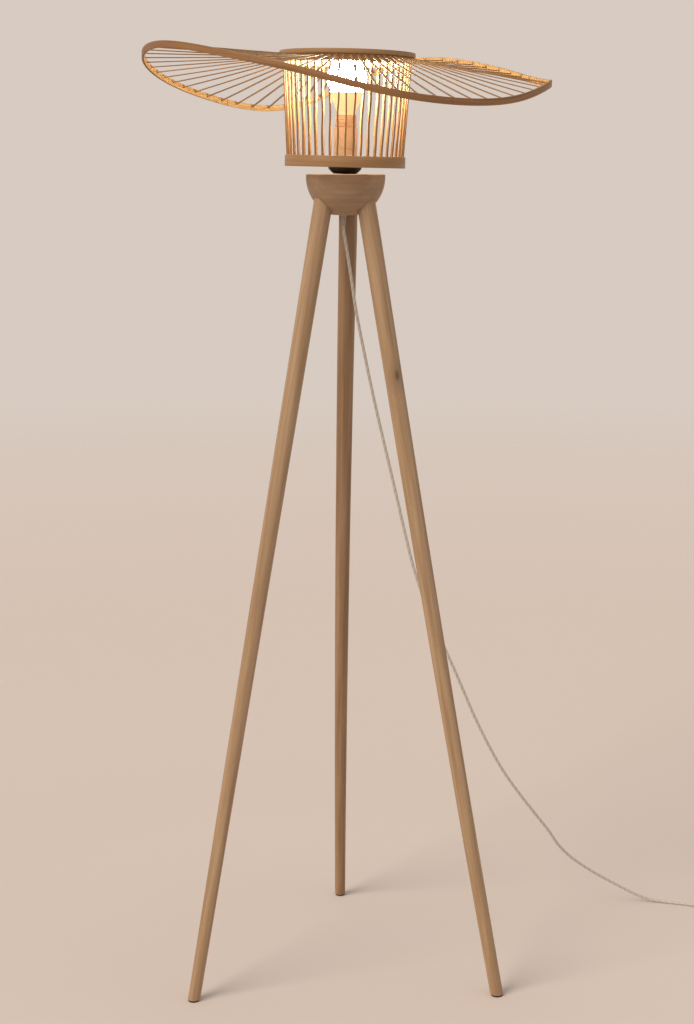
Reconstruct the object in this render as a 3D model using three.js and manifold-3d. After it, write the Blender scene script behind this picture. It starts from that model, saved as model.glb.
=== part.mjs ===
// Bamboo tripod floor lamp. Three tapered wooden legs stand in a turned half-ball hub. A threaded rod
// through the hub clamps a black seat cup and a lampholder, and between these two turns the shade: a
// drum of upright bamboo strips with a wide wavy brim of radial strips. A clear cord leaves the hub's
// underside, runs down behind the right leg to the floor, and has a rocker switch and a plug on it.
// Millimetres, +Z up, floor at zero, origin on the tripod's axis, front towards -Y.

import * as THREE from 'three';
import { mergeVertices } from 'three/addons/utils/BufferGeometryUtils.js';
import Module from 'manifold-3d';

const wasm = await Module();
wasm.setup();

// Gap between pieces that touch on the real lamp, and how far a cutter runs past what it cuts
const clearance = 0.3;
const overrun = 3;

// How finely round pieces are faceted
const fineSides = 30;
const plainSides = 20;
const smallSides = 12;

// Hub: a half ball turned from one block, whose middle stands a little off the rod's axis
const hubBottomHeight = 1235.8;
const hubHeight = 61.7;
const hubRadius = 61;
const hubOffAxis = 1.3;
const hubFlatRadius = 21;
const hubArcSteps = 10;
const hubRecessRadius = 14;
const hubRecessDepth = 13;
const hubSocketHeight = 32;

// Legs, each with the directions of its foot and of its top at the hub, and its own shares of the reach
// of a foot from the axis, of the diameter at the foot, and of the natural bend along X at half height
const legs = [
  { name: 'back', footAngle: 91.2, hubAngle: 82.4, reachShare: 1.02, footShare: 0.9, bendShare: -0.88 },
  { name: 'left', footAngle: 211.1, hubAngle: 209.9, reachShare: 1.002, footShare: 0.95, bendShare: 0 },
  { name: 'right', footAngle: 333.6, hubAngle: 329.6, reachShare: 0.994, footShare: 1, bendShare: -1 },
];
const legFootRadius = 278;
const legFootDiameter = 20.4;
const legBend = 3.4;
const legHubRadius = 41.6;
const legTopDiameter = 29.4;
const legSteps = 8;
const padThickness = 2;
const padInset = 0.8;
const footCutterSize = 60;

// Hanger bolt between leg and hub
const boltRadius = 4;
const boltInLeg = 34;
const boltInHub = 12;

// The head leans a little to the right, as the rod stands in its wide bore
const headLean = THREE.MathUtils.degToRad(1.2);

// Threaded rod, its nut and washer in the hub's recess, and the cord's tapered bush
const rodRadius = 5;
const rodWall = 1.3;
const rodBelowNut = 2.5;
const rodInHolder = 9;
const nutAcrossFlats = 17;
const nutSides = 6;
const nutThickness = 6;
const washerRadius = 10.5;
const washerThickness = 1.5;
const bushFlangeRadius = 6.5;
const bushFlangeThickness = 2.5;
const bushStemLength = 8;
const bushTailLength = 16;
const bushTailRadius = 4;
const bushTipRadius = 3.1;

// Seat cup under the shade, and the fibre washer over the shade's spider
const cupFootRadius = 17.5;
const cupRimRadius = 26;
const cupHeight = 13;
const cupWall = 1.2;
const cupFlareShares = [[0.18, 0.38], [0.55, 0.94]];
const fibreRadius = 15;
const fibreThickness = 0.8;

// Lampholder for a large screw cap
const holderRadius = 18.3;
const holderUpperRadius = 17;
const holderCapHeight = 20;
const holderCapWall = 1.8;
const holderCapFloor = 2.6;
const holderCapChamfer = 2.2;
const holderBodyHeight = 51.5;
const holderStepHeight = 33.6;
const blockSeat = 1.5;
const blockHeight = 12;
const blockLipRadius = 5;
const blockLipHeight = 1.6;
const shellThickness = 0.8;
const shellHeight = 24;
const tongueRadius = 3.4;
const tongueHeight = 2;
const terminalRadius = 2.1;
const terminalHeight = 3;
const terminalReach = 9;
const wireRadius = 1;
const wireSpread = 1.5;
const wireSteps = 8;
const wireShares = [[0, 0], [0.2, 0], [0.5, 0.5], [0.8, 1], [1, 1]];

// Bulb
const bulbCapRadius = 13;
const bulbCapHeight = 21;
const bulbTipRadius = 4.2;
const bulbTipHeight = 1.8;
const bulbConeHeight = 4;
const bulbConeTopRadius = 11;
const bulbNeckRadius = 13.9;
const bulbNeckHeight = 10;
const bulbBaseHeight = 40;
const bulbBaseTopRadius = 26.5;
const bulbGlobeRadius = 30;
const bulbGlobeWall = 1.2;
const bulbLength = 118;
const bulbGlobeSteps = 8;

// Drum of the shade
const drumStripCount = 48;
const drumLow = 10.6;
const drumHigh = 182.3;
const drumHoopHeight = 17;
const drumBottomRadius = 89.6;
const drumTopRadius = 97.4;
const drumStripWidth = 2.6;
const drumStripThickness = 1.5;
const drumStripInset = 1;
const drumTieHeight = 7;
const drumTieThickness = 0.8;
const hoopOuterThickness = 2;
const hoopInnerThickness = 2.2;

// Spider that carries the drum on the seat cup
const spiderArmCount = 3;
const spiderThickness = 2;
const spiderArmWidth = 10;
const spiderTabHeight = 11;
const spiderTabThickness = 1.8;
const spiderScrewRadius = 1.5;
const spiderScrewHeadRadius = 3;
const spiderScrewHeadHeight = 1.6;
const spiderScrewShare = 0.62;

// Brim of the shade. Its hoop rises and falls in waves around the drum: each has its number of crests
// in a turn, its share of the largest rise and the angle of one crest
const brimStripCount = 64;
const brimRadius = 311.2;
const brimMeanHeight = 144.3;
const brimRise = 34.1;
const brimWaves = [
  { crests: 1, share: 0.267, crestAngle: 120.8 },
  { crests: 2, share: 1, crestAngle: 37.2 },
  { crests: 3, share: 0.273, crestAngle: -50.4 },
  { crests: 4, share: 0.235, crestAngle: -21.1 },
  { crests: 5, share: 0.114, crestAngle: -5.3 },
  { crests: 6, share: 0.035, crestAngle: 16.1 },
  { crests: 7, share: 0.023, crestAngle: -19.6 },
  { crests: 8, share: 0.023, crestAngle: -11.2 },
];
const brimLathHeight = 10;
const brimLathOuterThickness = 2.2;
const brimLathInnerThickness = 2;
const brimStripWidth = 3;
const brimStripThickness = 1.6;
const brimRootDrop = 8.6;
const brimTieThickness = 0.9;
const brimTieBelow = 1;
const collarHeight = 7;
const collarThickness = 1.5;

// Cord. The free route is chosen by hand: from the bush down behind the right leg, and along the floor
const cordRadius = 2.5;
const cordSides = 8;
const cordFloorGap = 0.1;
const cordStraight = 6;
const runSteps = 76;
const runRoute = [
  [1.5, 2, 1194], [9, 5, 1148], [18, 10, 1088], [32, 17.5, 1017], [47.5, 25.5, 944],
  [64.5, 34.5, 871], [82.5, 45, 795], [98, 54, 728], [114.5, 63, 662], [136, 73.5, 597],
  [164, 87, 530], [194, 101, 460], [220.5, 116, 396], [248, 130.5, 337], [277, 144.5, 283],
  [307.5, 158, 237], [336, 171, 197], [361.5, 185, 161], [381.5, 198.5, 129], [405, 211.5, 102],
  [445.5, 227, 69], [490.5, 240.5, 39], [531, 248, 15.5], [553, 250, 6.4], [576, 247, 3.2],
  [604, 239.6, 2.6], [634, 230, 2.6], [664, 217.5, 2.7], [692, 200, 3.5], [711, 179, 6],
  [720, 163, 8.4],
];

// Rocker switch on the cord, lying on the floor with its long way along Y
const switchX = 722;
const switchY = 95;
const switchLength = 60;
const switchWidth = 25;
const switchEndWidth = 15;
const switchEndShare = 0.22;
const switchBaseHeight = 9.4;
const switchCoverHeight = 9.6;
const switchCoverInset = 1.6;
const switchWall = 2;
const switchCheek = 4;
const switchWindowLength = 22;
const switchWindowWidth = 12;
const switchTongueRadius = 3.4;
const rockerDrop = 2.8;
const rockerTilt = THREE.MathUtils.degToRad(7);
const rockerBodyHeight = 5.5;
const rockerHornHeight = 3;
const rockerHornShare = 0.6;
const rockerFootShare = 0.7;
const rockerPinRadius = 1.4;
const rockerPinReach = 1.4;
const rockerRunning = 0.5;
const reliefLength = 22;
const reliefTipRadius = 3.2;
const switchScrewRadius = 1.4;
const switchScrewHeadRadius = 2.6;
const switchScrewHeadHeight = 1.4;
const switchScrewAt = 22;

// Coil of the cord's spare length: the turns spiral in, climb a layer and spiral out again
const coilX = 691;
const coilY = -16;
const coilOuterRadius = 31;
const coilTurns = 3.5;
const coilPitch = 5.6;
const coilLayer = 5.6;
const coilClimbTurns = 0.5;
const coilStepsPerTurn = 24;
const coilSides = 6;
const leadSteps = 10;
const leadShares = [[0, 0], [0.1, 0], [0.3, 0.28], [0.5, 0.68], [0.7, 0.95], [0.88, 1], [1, 1]];
const tailSteps = 5;
const tailShares = [[0, 0], [0.2, 0], [0.5, 0.5], [0.8, 1], [1, 1]];

// Plug with two round pins, lying flat beside the coil
const plugWidth = 35;
const plugThickness = 13.6;
const plugLength = 34;
const plugRearWidth = 15;
const plugRearThickness = 11.4;
const plugShoulderShare = 0.55;
const plugCornerShare = 0.32;
const plugReliefLength = 24;
const plugReliefRadius = 4.6;
const plugGap = 35;
const pinRadius = 2;
const pinLength = 19;
const pinSpacing = 18.6;
const pinRootLength = 4;

// Finishes
const finish = (color, roughness, metalness) =>
  new THREE.MeshStandardMaterial({ color, roughness, metalness });
const legWood = finish(0xb49468, 0.55, 0);
const hubWood = finish(0xb99a70, 0.5, 0);
const bamboo = finish(0xc79a5e, 0.5, 0);
const bambooHoop = finish(0xb68a58, 0.5, 0);
const blackSteel = finish(0x1b1a19, 0.4, 0.6);
const zincSteel = finish(0xb9bab8, 0.35, 0.9);
const brass = finish(0xb9964c, 0.35, 0.9);
const fibre = finish(0x5b4034, 0.85, 0);
const cream = finish(0xe6dcc8, 0.4, 0);
const ceramic = finish(0xf0ece2, 0.3, 0);
const opal = finish(0xfff3dc, 0.3, 0);
const rubber = finish(0x241f1c, 0.9, 0);
const clearSheath = finish(0xe4ddd0, 0.35, 0);
const whitePlastic = finish(0xeceae4, 0.4, 0);
const blueCore = finish(0x2f5f9e, 0.5, 0);
const brownCore = finish(0x6b4226, 0.5, 0);

// Turns a mesh's faces outward when they point in
function facedOut(geometry) {
  const p = geometry.getAttribute('position');
  const index = geometry.index.array;
  let volume = 0;
  const a = new THREE.Vector3();
  const b = new THREE.Vector3();
  const c = new THREE.Vector3();
  for (let i = 0; i < index.length; i += 3) {
    a.fromBufferAttribute(p, index[i]);
    b.fromBufferAttribute(p, index[i + 1]);
    c.fromBufferAttribute(p, index[i + 2]);
    volume += a.dot(b.cross(c));
  }
  if (volume < 0) {
    for (let i = 0; i < index.length; i += 3) {
      [index[i], index[i + 1]] = [index[i + 1], index[i]];
    }
  }
  return geometry;
}

// One closed mesh with shared vertices, without the empty triangles at a lathe's poles
function closed(source) {
  const geometry = source.clone();
  geometry.deleteAttribute('normal');
  geometry.deleteAttribute('uv');
  const merged = mergeVertices(geometry);
  const old = merged.index.array;
  const kept = [];
  for (let i = 0; i < old.length; i += 3) {
    const [a, b, c] = [old[i], old[i + 1], old[i + 2]];
    if (a !== b && b !== c && c !== a) kept.push(a, b, c);
  }
  merged.setIndex(kept);
  return facedOut(merged);
}

function solidOf(geometry) {
  const whole = closed(geometry);
  return new wasm.Manifold(new wasm.Mesh({
    numProp: 3,
    vertProperties: new Float32Array(whole.getAttribute('position').array),
    triVerts: new Uint32Array(whole.index.array),
  }));
}

function geometryOf(solid) {
  const mesh = solid.getMesh();
  const geometry = new THREE.BufferGeometry();
  geometry.setAttribute('position', new THREE.BufferAttribute(new Float32Array(mesh.vertProperties), 3));
  geometry.setIndex(Array.from(mesh.triVerts));
  return geometry;
}

function cut(geometry, ...cutters) {
  return geometryOf(cutters.reduce((left, cutter) => left.subtract(solidOf(cutter)), solidOf(geometry)));
}

function joined(...geometries) {
  return geometryOf(geometries.map(solidOf).reduce((whole, next) => whole.add(next)));
}

// Skin over a row of loops with as many points each: a ring when it closes on itself, else with
// flat ends
function skin(loops, ring = false) {
  const sides = loops[0].length;
  const positions = loops.flat().flatMap((point) => point.toArray());
  const triangles = [];
  const last = ring ? loops.length : loops.length - 1;
  for (let i = 0; i < last; i += 1) {
    const next = (i + 1) % loops.length;
    for (let j = 0; j < sides; j += 1) {
      const a = i * sides + j;
      const b = i * sides + ((j + 1) % sides);
      const c = next * sides + j;
      const d = next * sides + ((j + 1) % sides);
      triangles.push(a, b, c, b, d, c);
    }
  }
  if (!ring) {
    const end = (loops.length - 1) * sides;
    for (let j = 1; j < sides - 1; j += 1) {
      triangles.push(0, j + 1, j);
      triangles.push(end, end + j, end + j + 1);
    }
  }
  const geometry = new THREE.BufferGeometry();
  geometry.setAttribute('position', new THREE.Float32BufferAttribute(positions, 3));
  geometry.setIndex(triangles);
  return facedOut(geometry);
}

// Body of revolution about Z from [radius, height] points
function turned(profile, sides = plainSides) {
  const points = profile.map(([radius, height]) => new THREE.Vector2(radius, height));
  return closed(new THREE.LatheGeometry(points, sides).rotateX(Math.PI / 2));
}

function rod(radius, low, high, sides = plainSides) {
  return turned([[0, low], [radius, low], [radius, high], [0, high]], sides);
}

function sleeve(inner, outer, low, high, sides = plainSides) {
  return turned([[inner, low], [outer, low], [outer, high], [inner, high], [inner, low]], sides);
}

function block(sizeX, sizeY, low, high) {
  return new THREE.BoxGeometry(sizeX, sizeY, high - low).translate(0, 0, (low + high) / 2);
}

function roundSection(radius, sides) {
  const shape = new THREE.Shape();
  for (let i = 0; i < sides; i += 1) {
    const angle = ((i + 0.5) / sides) * Math.PI * 2;
    const point = [radius * Math.cos(angle), radius * Math.sin(angle)];
    if (i === 0) shape.moveTo(...point);
    else shape.lineTo(...point);
  }
  shape.closePath();
  return shape;
}

// Tube along a smooth line through points
function tube(points, radius, steps, sides = cordSides) {
  const path = new THREE.CatmullRomCurve3(points, false, 'centripetal');
  return closed(new THREE.ExtrudeGeometry(roundSection(radius, sides), {
    steps,
    extrudePath: path,
  }));
}

function piece(name, geometry, material) {
  const mesh = new THREE.Mesh(geometry, material);
  mesh.name = name;
  return mesh;
}

function grouped(...children) {
  const group = new THREE.Group();
  group.add(...children);
  return group;
}

// Heights that follow from the stack on the rod, measured from the hub's top
const hubTopHeight = hubBottomHeight + hubHeight;
const hubBoreRadius = rodRadius + clearance + hubHeight * Math.sin(headLean);
const cupLow = clearance + cupFootRadius * Math.sin(headLean);
const spiderLow = cupLow + cupHeight + clearance;
const fibreLow = spiderLow + spiderThickness + clearance;
const holderCapLow = fibreLow + fibreThickness + clearance;
const holderBodyLow = holderCapLow + holderCapHeight + clearance;
const rodTop = holderCapLow + rodInHolder;
const washerHigh = hubRecessDepth - hubHeight - clearance - washerRadius * Math.sin(headLean);
const nutHigh = washerHigh - washerThickness - clearance;
const rodBottom = nutHigh - nutThickness - rodBelowNut;
const bushFlangeHigh = rodBottom - clearance;
const bushTip = bushFlangeHigh - bushFlangeThickness - bushTailLength;
const rodBoreRadius = rodRadius - rodWall;
const spiderDiscRadius = cupRimRadius;

// Radii of the lampholder, from the bulb's cap outwards
const shellInnerRadius = bulbCapRadius + clearance;
const shellOuterRadius = shellInnerRadius + shellThickness;
const holderBoreRadius = shellOuterRadius + clearance;
const blockLow = holderBodyLow + blockSeat;
const blockHigh = blockLow + blockHeight;
const tongueLow = blockHigh + blockLipHeight + clearance;
const bulbLow = tongueLow + tongueHeight + clearance;

// Radii of the drum's hoops, which hold the strips between them
const stripHalf = drumStripThickness / 2;
const bottomOuterInside = drumBottomRadius + stripHalf + clearance;
const bottomInnerOutside = drumBottomRadius - stripHalf - clearance;
const topOuterInside = drumTopRadius + stripHalf + clearance;
const topInnerOutside = drumTopRadius - stripHalf - clearance;
const topOuterOutside = topOuterInside + hoopOuterThickness;
const facetSag = topOuterOutside * (1 - Math.cos(Math.PI / drumStripCount));
const brimTieInside = topOuterOutside + clearance + facetSag;
const brimTieOutside = brimTieInside + brimTieThickness;
const collarInside = brimTieOutside + clearance;
const brimLathInside = brimRadius - brimLathOuterThickness;
const brimInnerOutside = brimLathInside - clearance;
const brimInnerInside = brimInnerOutside - brimLathInnerThickness;
const brimRootHeight = drumHigh - brimRootDrop;

// The leaning head: its pieces are placed from the hub's top, along the rod
const headPlace = new THREE.Matrix4()
  .makeTranslation(0, 0, hubTopHeight)
  .multiply(new THREE.Matrix4().makeRotationY(headLean));
const headPoint = (height) => new THREE.Vector3(0, 0, height).applyMatrix4(headPlace);

// A leg's straight axis from its foot to its top in the hub, with the frame it is drawn in
function legAxis({ footAngle, hubAngle, reachShare }) {
  const turn = THREE.MathUtils.degToRad(footAngle);
  const hubTurn = THREE.MathUtils.degToRad(hubAngle);
  const foot = around(turn, legFootRadius * reachShare, 0);
  const entry = around(hubTurn, legHubRadius, hubBottomHeight);
  const top = foot.clone().lerp(entry, 1 + hubSocketHeight / hubBottomHeight);
  const along = top.clone().sub(foot).normalize();
  const across = new THREE.Vector3().crossVectors(around(turn + Math.PI / 2, 1, 0), along).normalize();
  const side = new THREE.Vector3().crossVectors(along, across);
  const place = new THREE.Matrix4().makeBasis(across, side, along).setPosition(foot);
  return { foot, along, across, side, place, length: foot.distanceTo(top) };
}

// Tapered leg, bent a little along X between its foot and the hub
function legShape(spec) {
  const { foot, along, across, side, place, length } = legAxis(spec);
  const footDiameter = legFootDiameter * spec.footShare;
  const straightShare = 1 - (2 * hubSocketHeight) / length;
  const section = (share) => {
    const bent = Math.max(0, share * (straightShare - share)) * 4 * legBend * spec.bendShare;
    const radius = (footDiameter + (legTopDiameter - footDiameter) * share) / 2;
    const centre = foot.clone().addScaledVector(along, share * length);
    centre.x += bent;
    const loop = [];
    for (let j = 0; j < plainSides; j += 1) {
      const turn = (j / plainSides) * Math.PI * 2;
      const point = centre.clone().addScaledVector(across, radius * Math.cos(turn));
      loop.push(point.addScaledVector(side, radius * Math.sin(turn)));
    }
    return loop;
  };
  const loops = [section(-footDiameter / length)];
  for (let k = 0; k <= legSteps; k += 1) loops.push(section((straightShare * k) / legSteps));
  loops.push(section(1));
  const cutHeight = padThickness + clearance;
  const floorCutter = block(footCutterSize, footCutterSize, cutHeight - footCutterSize, cutHeight);
  floorCutter.translate(foot.x, foot.y, 0);
  const holeLow = length - boltInLeg - clearance;
  const boltHole = rod(boltRadius + clearance, holeLow, length + overrun, smallSides).applyMatrix4(place);
  return cut(skin(loops), floorCutter, boltHole);
}

function leg(spec) {
  const { foot, place, length } = legAxis(spec);
  const padRadius = (legFootDiameter * spec.footShare) / 2 - padInset;
  const pad = piece(`foot_pad_${spec.name}`, rod(padRadius, 0, padThickness), rubber);
  pad.position.copy(foot);
  const boltHigh = length + clearance + boltInHub;
  const bolt = rod(boltRadius, length - boltInLeg, boltHigh, smallSides).applyMatrix4(place);
  return grouped(
    piece(`leg_${spec.name}`, legShape(spec), legWood),
    piece(`leg_bolt_${spec.name}`, bolt, zincSteel),
    pad,
  );
}

// Cutters for one leg's socket in the hub and for the bolt above it
function legSocket(spec) {
  const { place, length } = legAxis(spec);
  const depth = length + clearance;
  const socket = rod(legTopDiameter / 2 + clearance, depth - 2 * hubSocketHeight, depth);
  const boltEnd = depth + boltInHub + clearance;
  const boltHole = rod(boltRadius + clearance, depth - overrun, boltEnd, smallSides);
  return [socket.applyMatrix4(place), boltHole.applyMatrix4(place)];
}

function hub() {
  const drop = (hubHeight ** 2 + hubFlatRadius ** 2 - hubRadius ** 2) / (2 * hubHeight);
  const ball = Math.hypot(hubRadius, drop);
  const first = Math.asin(drop / ball);
  const last = -Math.asin((hubHeight - drop) / ball);
  const centre = hubTopHeight - drop;
  const arc = [];
  for (let k = 0; k <= hubArcSteps; k += 1) {
    const angle = first + ((last - first) * k) / hubArcSteps;
    arc.push([ball * Math.cos(angle), centre + ball * Math.sin(angle)]);
  }
  const body = turned([[0, hubTopHeight], ...arc, [0, hubBottomHeight]], fineSides);
  body.translate(hubOffAxis, 0, 0);
  const bore = rod(hubBoreRadius, hubBottomHeight - overrun, hubTopHeight + overrun);
  const recess = rod(hubRecessRadius, hubBottomHeight - overrun, hubBottomHeight + hubRecessDepth);
  const sockets = legs.flatMap(legSocket);
  return piece('hub', cut(body, bore, recess, ...sockets), hubWood);
}

// Rod, washer and nut under the hub
function clampParts() {
  const across = nutAcrossFlats / 2 / Math.cos(Math.PI / nutSides);
  const hole = rodRadius + clearance;
  const nutLow = nutHigh - nutThickness;
  const hexagon = rod(across, nutLow, nutHigh, nutSides);
  const nutBore = rod(hole, nutLow - overrun, nutHigh + overrun, smallSides);
  return grouped(
    piece('threaded_rod', sleeve(rodBoreRadius, rodRadius, rodBottom, rodTop), zincSteel),
    piece('rod_washer', sleeve(hole, washerRadius, washerHigh - washerThickness, washerHigh), zincSteel),
    piece('rod_nut', cut(hexagon, nutBore), zincSteel),
  );
}

// Tapered bush that the cord leaves through: its stem sits in the rod's lower end
function cordBush() {
  const stemRadius = rodBoreRadius - clearance;
  const flangeLow = bushFlangeHigh - bushFlangeThickness;
  return piece('cord_bush', turned([
    [0, bushTip], [bushTipRadius, bushTip], [bushTailRadius, flangeLow], [bushFlangeRadius, flangeLow],
    [bushFlangeRadius, bushFlangeHigh], [stemRadius, bushFlangeHigh],
    [stemRadius, bushFlangeHigh + bushStemLength], [0, bushFlangeHigh + bushStemLength],
  ]), whitePlastic);
}

function seatCup() {
  const hole = rodRadius + clearance;
  const grow = cupRimRadius - cupFootRadius;
  const outside = cupFlareShares.map(([up, out]) => [cupFootRadius + out * grow, cupLow + up * cupHeight]);
  const high = cupLow + cupHeight;
  const inside = outside.map(([radius, height]) => [radius - cupWall, height + cupWall / 2]).reverse();
  return piece('seat_cup', turned([
    [hole, cupLow], [cupFootRadius, cupLow], ...outside, [cupRimRadius, high],
    [cupRimRadius - cupWall, high], ...inside, [cupFootRadius - cupWall, cupLow + cupWall],
    [hole, cupLow + cupWall], [hole, cupLow],
  ], fineSides), blackSteel);
}

function fibreWasher() {
  const hole = rodRadius + clearance;
  return piece('fibre_washer', sleeve(hole, fibreRadius, fibreLow, fibreLow + fibreThickness), fibre);
}

function holderCap() {
  const low = holderCapLow;
  const high = low + holderCapHeight;
  const hole = rodRadius + clearance;
  const inner = holderRadius - holderCapWall;
  return piece('lampholder_cap', turned([
    [hole, low], [holderRadius - holderCapChamfer, low], [holderRadius, low + holderCapChamfer],
    [holderRadius, high], [inner, high], [inner, low + holderCapFloor], [hole, low + holderCapFloor],
    [hole, low],
  ], fineSides), cream);
}

function holderBody() {
  const low = holderBodyLow;
  const step = low + holderStepHeight;
  const high = low + holderBodyHeight;
  return piece('lampholder_body', turned([
    [holderBoreRadius, low], [holderRadius, low], [holderRadius, step], [holderUpperRadius, step],
    [holderUpperRadius, high], [holderBoreRadius, high], [holderBoreRadius, low],
  ], fineSides), cream);
}

// Ceramic block with the contacts, and what is screwed to it
function holderInside() {
  const radius = holderBoreRadius - clearance;
  const lip = blockHigh + blockLipHeight;
  const shellLow = blockHigh + clearance;
  const body = turned([
    [0, blockLow], [radius, blockLow], [radius, blockHigh], [blockLipRadius, blockHigh],
    [blockLipRadius, lip], [0, lip],
  ]);
  const shell = sleeve(shellInnerRadius, shellOuterRadius, shellLow, shellLow + shellHeight);
  const terminalHigh = blockLow - clearance;
  const terminal = (side) => rod(terminalRadius, terminalHigh - terminalHeight, terminalHigh, smallSides)
    .translate(side * terminalReach, 0, 0);
  return grouped(
    piece('contact_block', body, ceramic),
    piece('screw_shell', shell, brass),
    piece('centre_contact', rod(tongueRadius, tongueLow, tongueLow + tongueHeight, smallSides), brass),
    piece('terminal_line', terminal(1), brass),
    piece('terminal_neutral', terminal(-1), brass),
  );
}

// Sheathed cord inside the rod, and its two cores up to the terminals
function innerWiring() {
  const sheathLow = bushFlangeHigh + bushStemLength + clearance;
  const sheathHigh = rodTop + clearance;
  const wireLow = sheathHigh + clearance;
  const wireHigh = blockLow - 2 * clearance - terminalHeight;
  const rise = wireHigh - wireLow;
  const core = (side) => tube(wireShares.map(([up, out]) => {
    const x = side * (wireSpread + out * (terminalReach - wireSpread));
    return new THREE.Vector3(x, 0, wireLow + up * rise);
  }), wireRadius, wireSteps);
  return grouped(
    piece('cord_in_rod', rod(cordRadius, sheathLow, sheathHigh, smallSides), clearSheath),
    piece('core_line', core(1), brownCore),
    piece('core_neutral', core(-1), blueCore),
  );
}

function bulb() {
  const coneLow = bulbLow + bulbTipHeight + clearance;
  const capLow = coneLow + bulbConeHeight + clearance;
  const baseLow = capLow + bulbCapHeight + clearance;
  const neckHigh = baseLow + bulbNeckHeight;
  const baseHigh = baseLow + bulbBaseHeight;
  const globeLow = baseHigh + clearance;
  const globeCentre = bulbLow + bulbLength - bulbGlobeRadius;
  const start = -Math.acos(bulbBaseTopRadius / bulbGlobeRadius);
  const wall = (radius) => {
    const arc = [];
    for (let k = 0; k <= bulbGlobeSteps; k += 1) {
      const angle = start + ((Math.PI / 2 - start) * k) / bulbGlobeSteps;
      arc.push([k === bulbGlobeSteps ? 0 : radius * Math.cos(angle), globeCentre + radius * Math.sin(angle)]);
    }
    return arc;
  };
  const inner = wall(bulbGlobeRadius - bulbGlobeWall).reverse();
  const globe = turned([
    [bulbBaseTopRadius, globeLow], ...wall(bulbGlobeRadius), ...inner,
    [bulbBaseTopRadius - bulbGlobeWall, globeLow], [bulbBaseTopRadius, globeLow],
  ]);
  const cone = turned([
    [0, coneLow], [bulbTipRadius, coneLow], [bulbConeTopRadius, coneLow + bulbConeHeight],
    [0, coneLow + bulbConeHeight],
  ]);
  const base = turned([
    [0, baseLow], [bulbNeckRadius, baseLow], [bulbNeckRadius, neckHigh],
    [bulbBaseTopRadius, baseHigh], [0, baseHigh],
  ]);
  return grouped(
    piece('bulb_tip', rod(bulbTipRadius, bulbLow, bulbLow + bulbTipHeight, smallSides), brass),
    piece('bulb_insulator', cone, rubber),
    piece('bulb_cap', rod(bulbCapRadius, capLow, capLow + bulbCapHeight), zincSteel),
    piece('bulb_base', base, whitePlastic),
    piece('bulb_globe', globe, opal),
  );
}

// A point at an angle, radius and height about the shade's axis
function around(angle, radius, height) {
  return new THREE.Vector3(radius * Math.cos(angle), radius * Math.sin(angle), height);
}

// Box-like bar from rectangular sections, each given as a radius, a height and the section's
// half thickness along the radius and upward
function bar(angle, width, sections) {
  const shift = new THREE.Vector3(-Math.sin(angle), Math.cos(angle), 0).multiplyScalar(width / 2);
  return skin(sections.map(({ radius, height, out, up }) => {
    const low = around(angle, radius - out, height - up);
    const high = around(angle, radius + out, height + up);
    return [
      low.clone().sub(shift), high.clone().sub(shift), high.clone().add(shift), low.clone().add(shift),
    ];
  }));
}

// Upright strips of the drum, joined by the tie that runs through them inside the bottom hoop
function drumStrips() {
  const low = drumLow + drumStripInset;
  const high = drumHigh - drumStripInset;
  const waist = drumLow + drumHoopHeight;
  const shoulder = drumHigh - drumHoopHeight;
  const section = (radius, height) => ({ radius, height, out: stripHalf, up: 0 });
  const bars = [];
  for (let i = 0; i < drumStripCount; i += 1) {
    bars.push(bar((i / drumStripCount) * Math.PI * 2, drumStripWidth, [
      section(drumBottomRadius, low), section(drumBottomRadius, waist),
      section(drumTopRadius, shoulder), section(drumTopRadius, high),
    ]));
  }
  const tieLow = drumLow + (drumHoopHeight - drumTieHeight) / 2;
  const inside = drumBottomRadius - drumTieThickness / 2;
  const tie = sleeve(inside, inside + drumTieThickness, tieLow, tieLow + drumTieHeight, drumStripCount);
  return piece('drum_strips', joined(tie, ...bars), bamboo);
}

function hoop(name, inside, thickness, low, cutters = []) {
  const ring = sleeve(inside, inside + thickness, low, low + drumHoopHeight, drumStripCount);
  return piece(name, cutters.length > 0 ? cut(ring, ...cutters) : ring, bambooHoop);
}

// Where the spider's tabs stand, just inside the bottom hoop's inner lath
const innerLathInside = bottomInnerOutside - hoopInnerThickness;
const lathApothem = innerLathInside * Math.cos(Math.PI / drumStripCount);
const tabOutside = Math.sqrt((lathApothem - clearance) ** 2 - (spiderArmWidth / 2) ** 2);
const tabInside = tabOutside - spiderTabThickness;
const screwHeight = spiderLow + spiderTabHeight * spiderScrewShare;
const spiderAngle = (i) => ((i + 0.5) / spiderArmCount) * Math.PI * 2;

// Radial rod at a spider arm, for its screw's hole
function radialRod(i, radius, from, to) {
  return rod(radius, from, to, smallSides)
    .rotateY(Math.PI / 2)
    .rotateZ(spiderAngle(i))
    .translate(0, 0, screwHeight);
}

function spider() {
  const top = spiderLow + spiderThickness;
  const arms = [];
  const holes = [];
  for (let i = 0; i < spiderArmCount; i += 1) {
    const arm = block(tabOutside, spiderArmWidth, spiderLow, top).translate(tabOutside / 2, 0, 0);
    const tab = block(spiderTabThickness, spiderArmWidth, spiderLow, spiderLow + spiderTabHeight);
    tab.translate(tabOutside - spiderTabThickness / 2, 0, 0);
    arms.push(arm.rotateZ(spiderAngle(i)), tab.rotateZ(spiderAngle(i)));
    holes.push(radialRod(i, spiderScrewRadius + clearance, tabInside - overrun, tabOutside + overrun));
  }
  const hole = rod(rodRadius + 2 * clearance, spiderLow - overrun, top + overrun);
  const whole = joined(rod(spiderDiscRadius, spiderLow, top, fineSides), ...arms);
  return piece('shade_spider', cut(whole, hole, ...holes), blackSteel);
}

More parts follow.
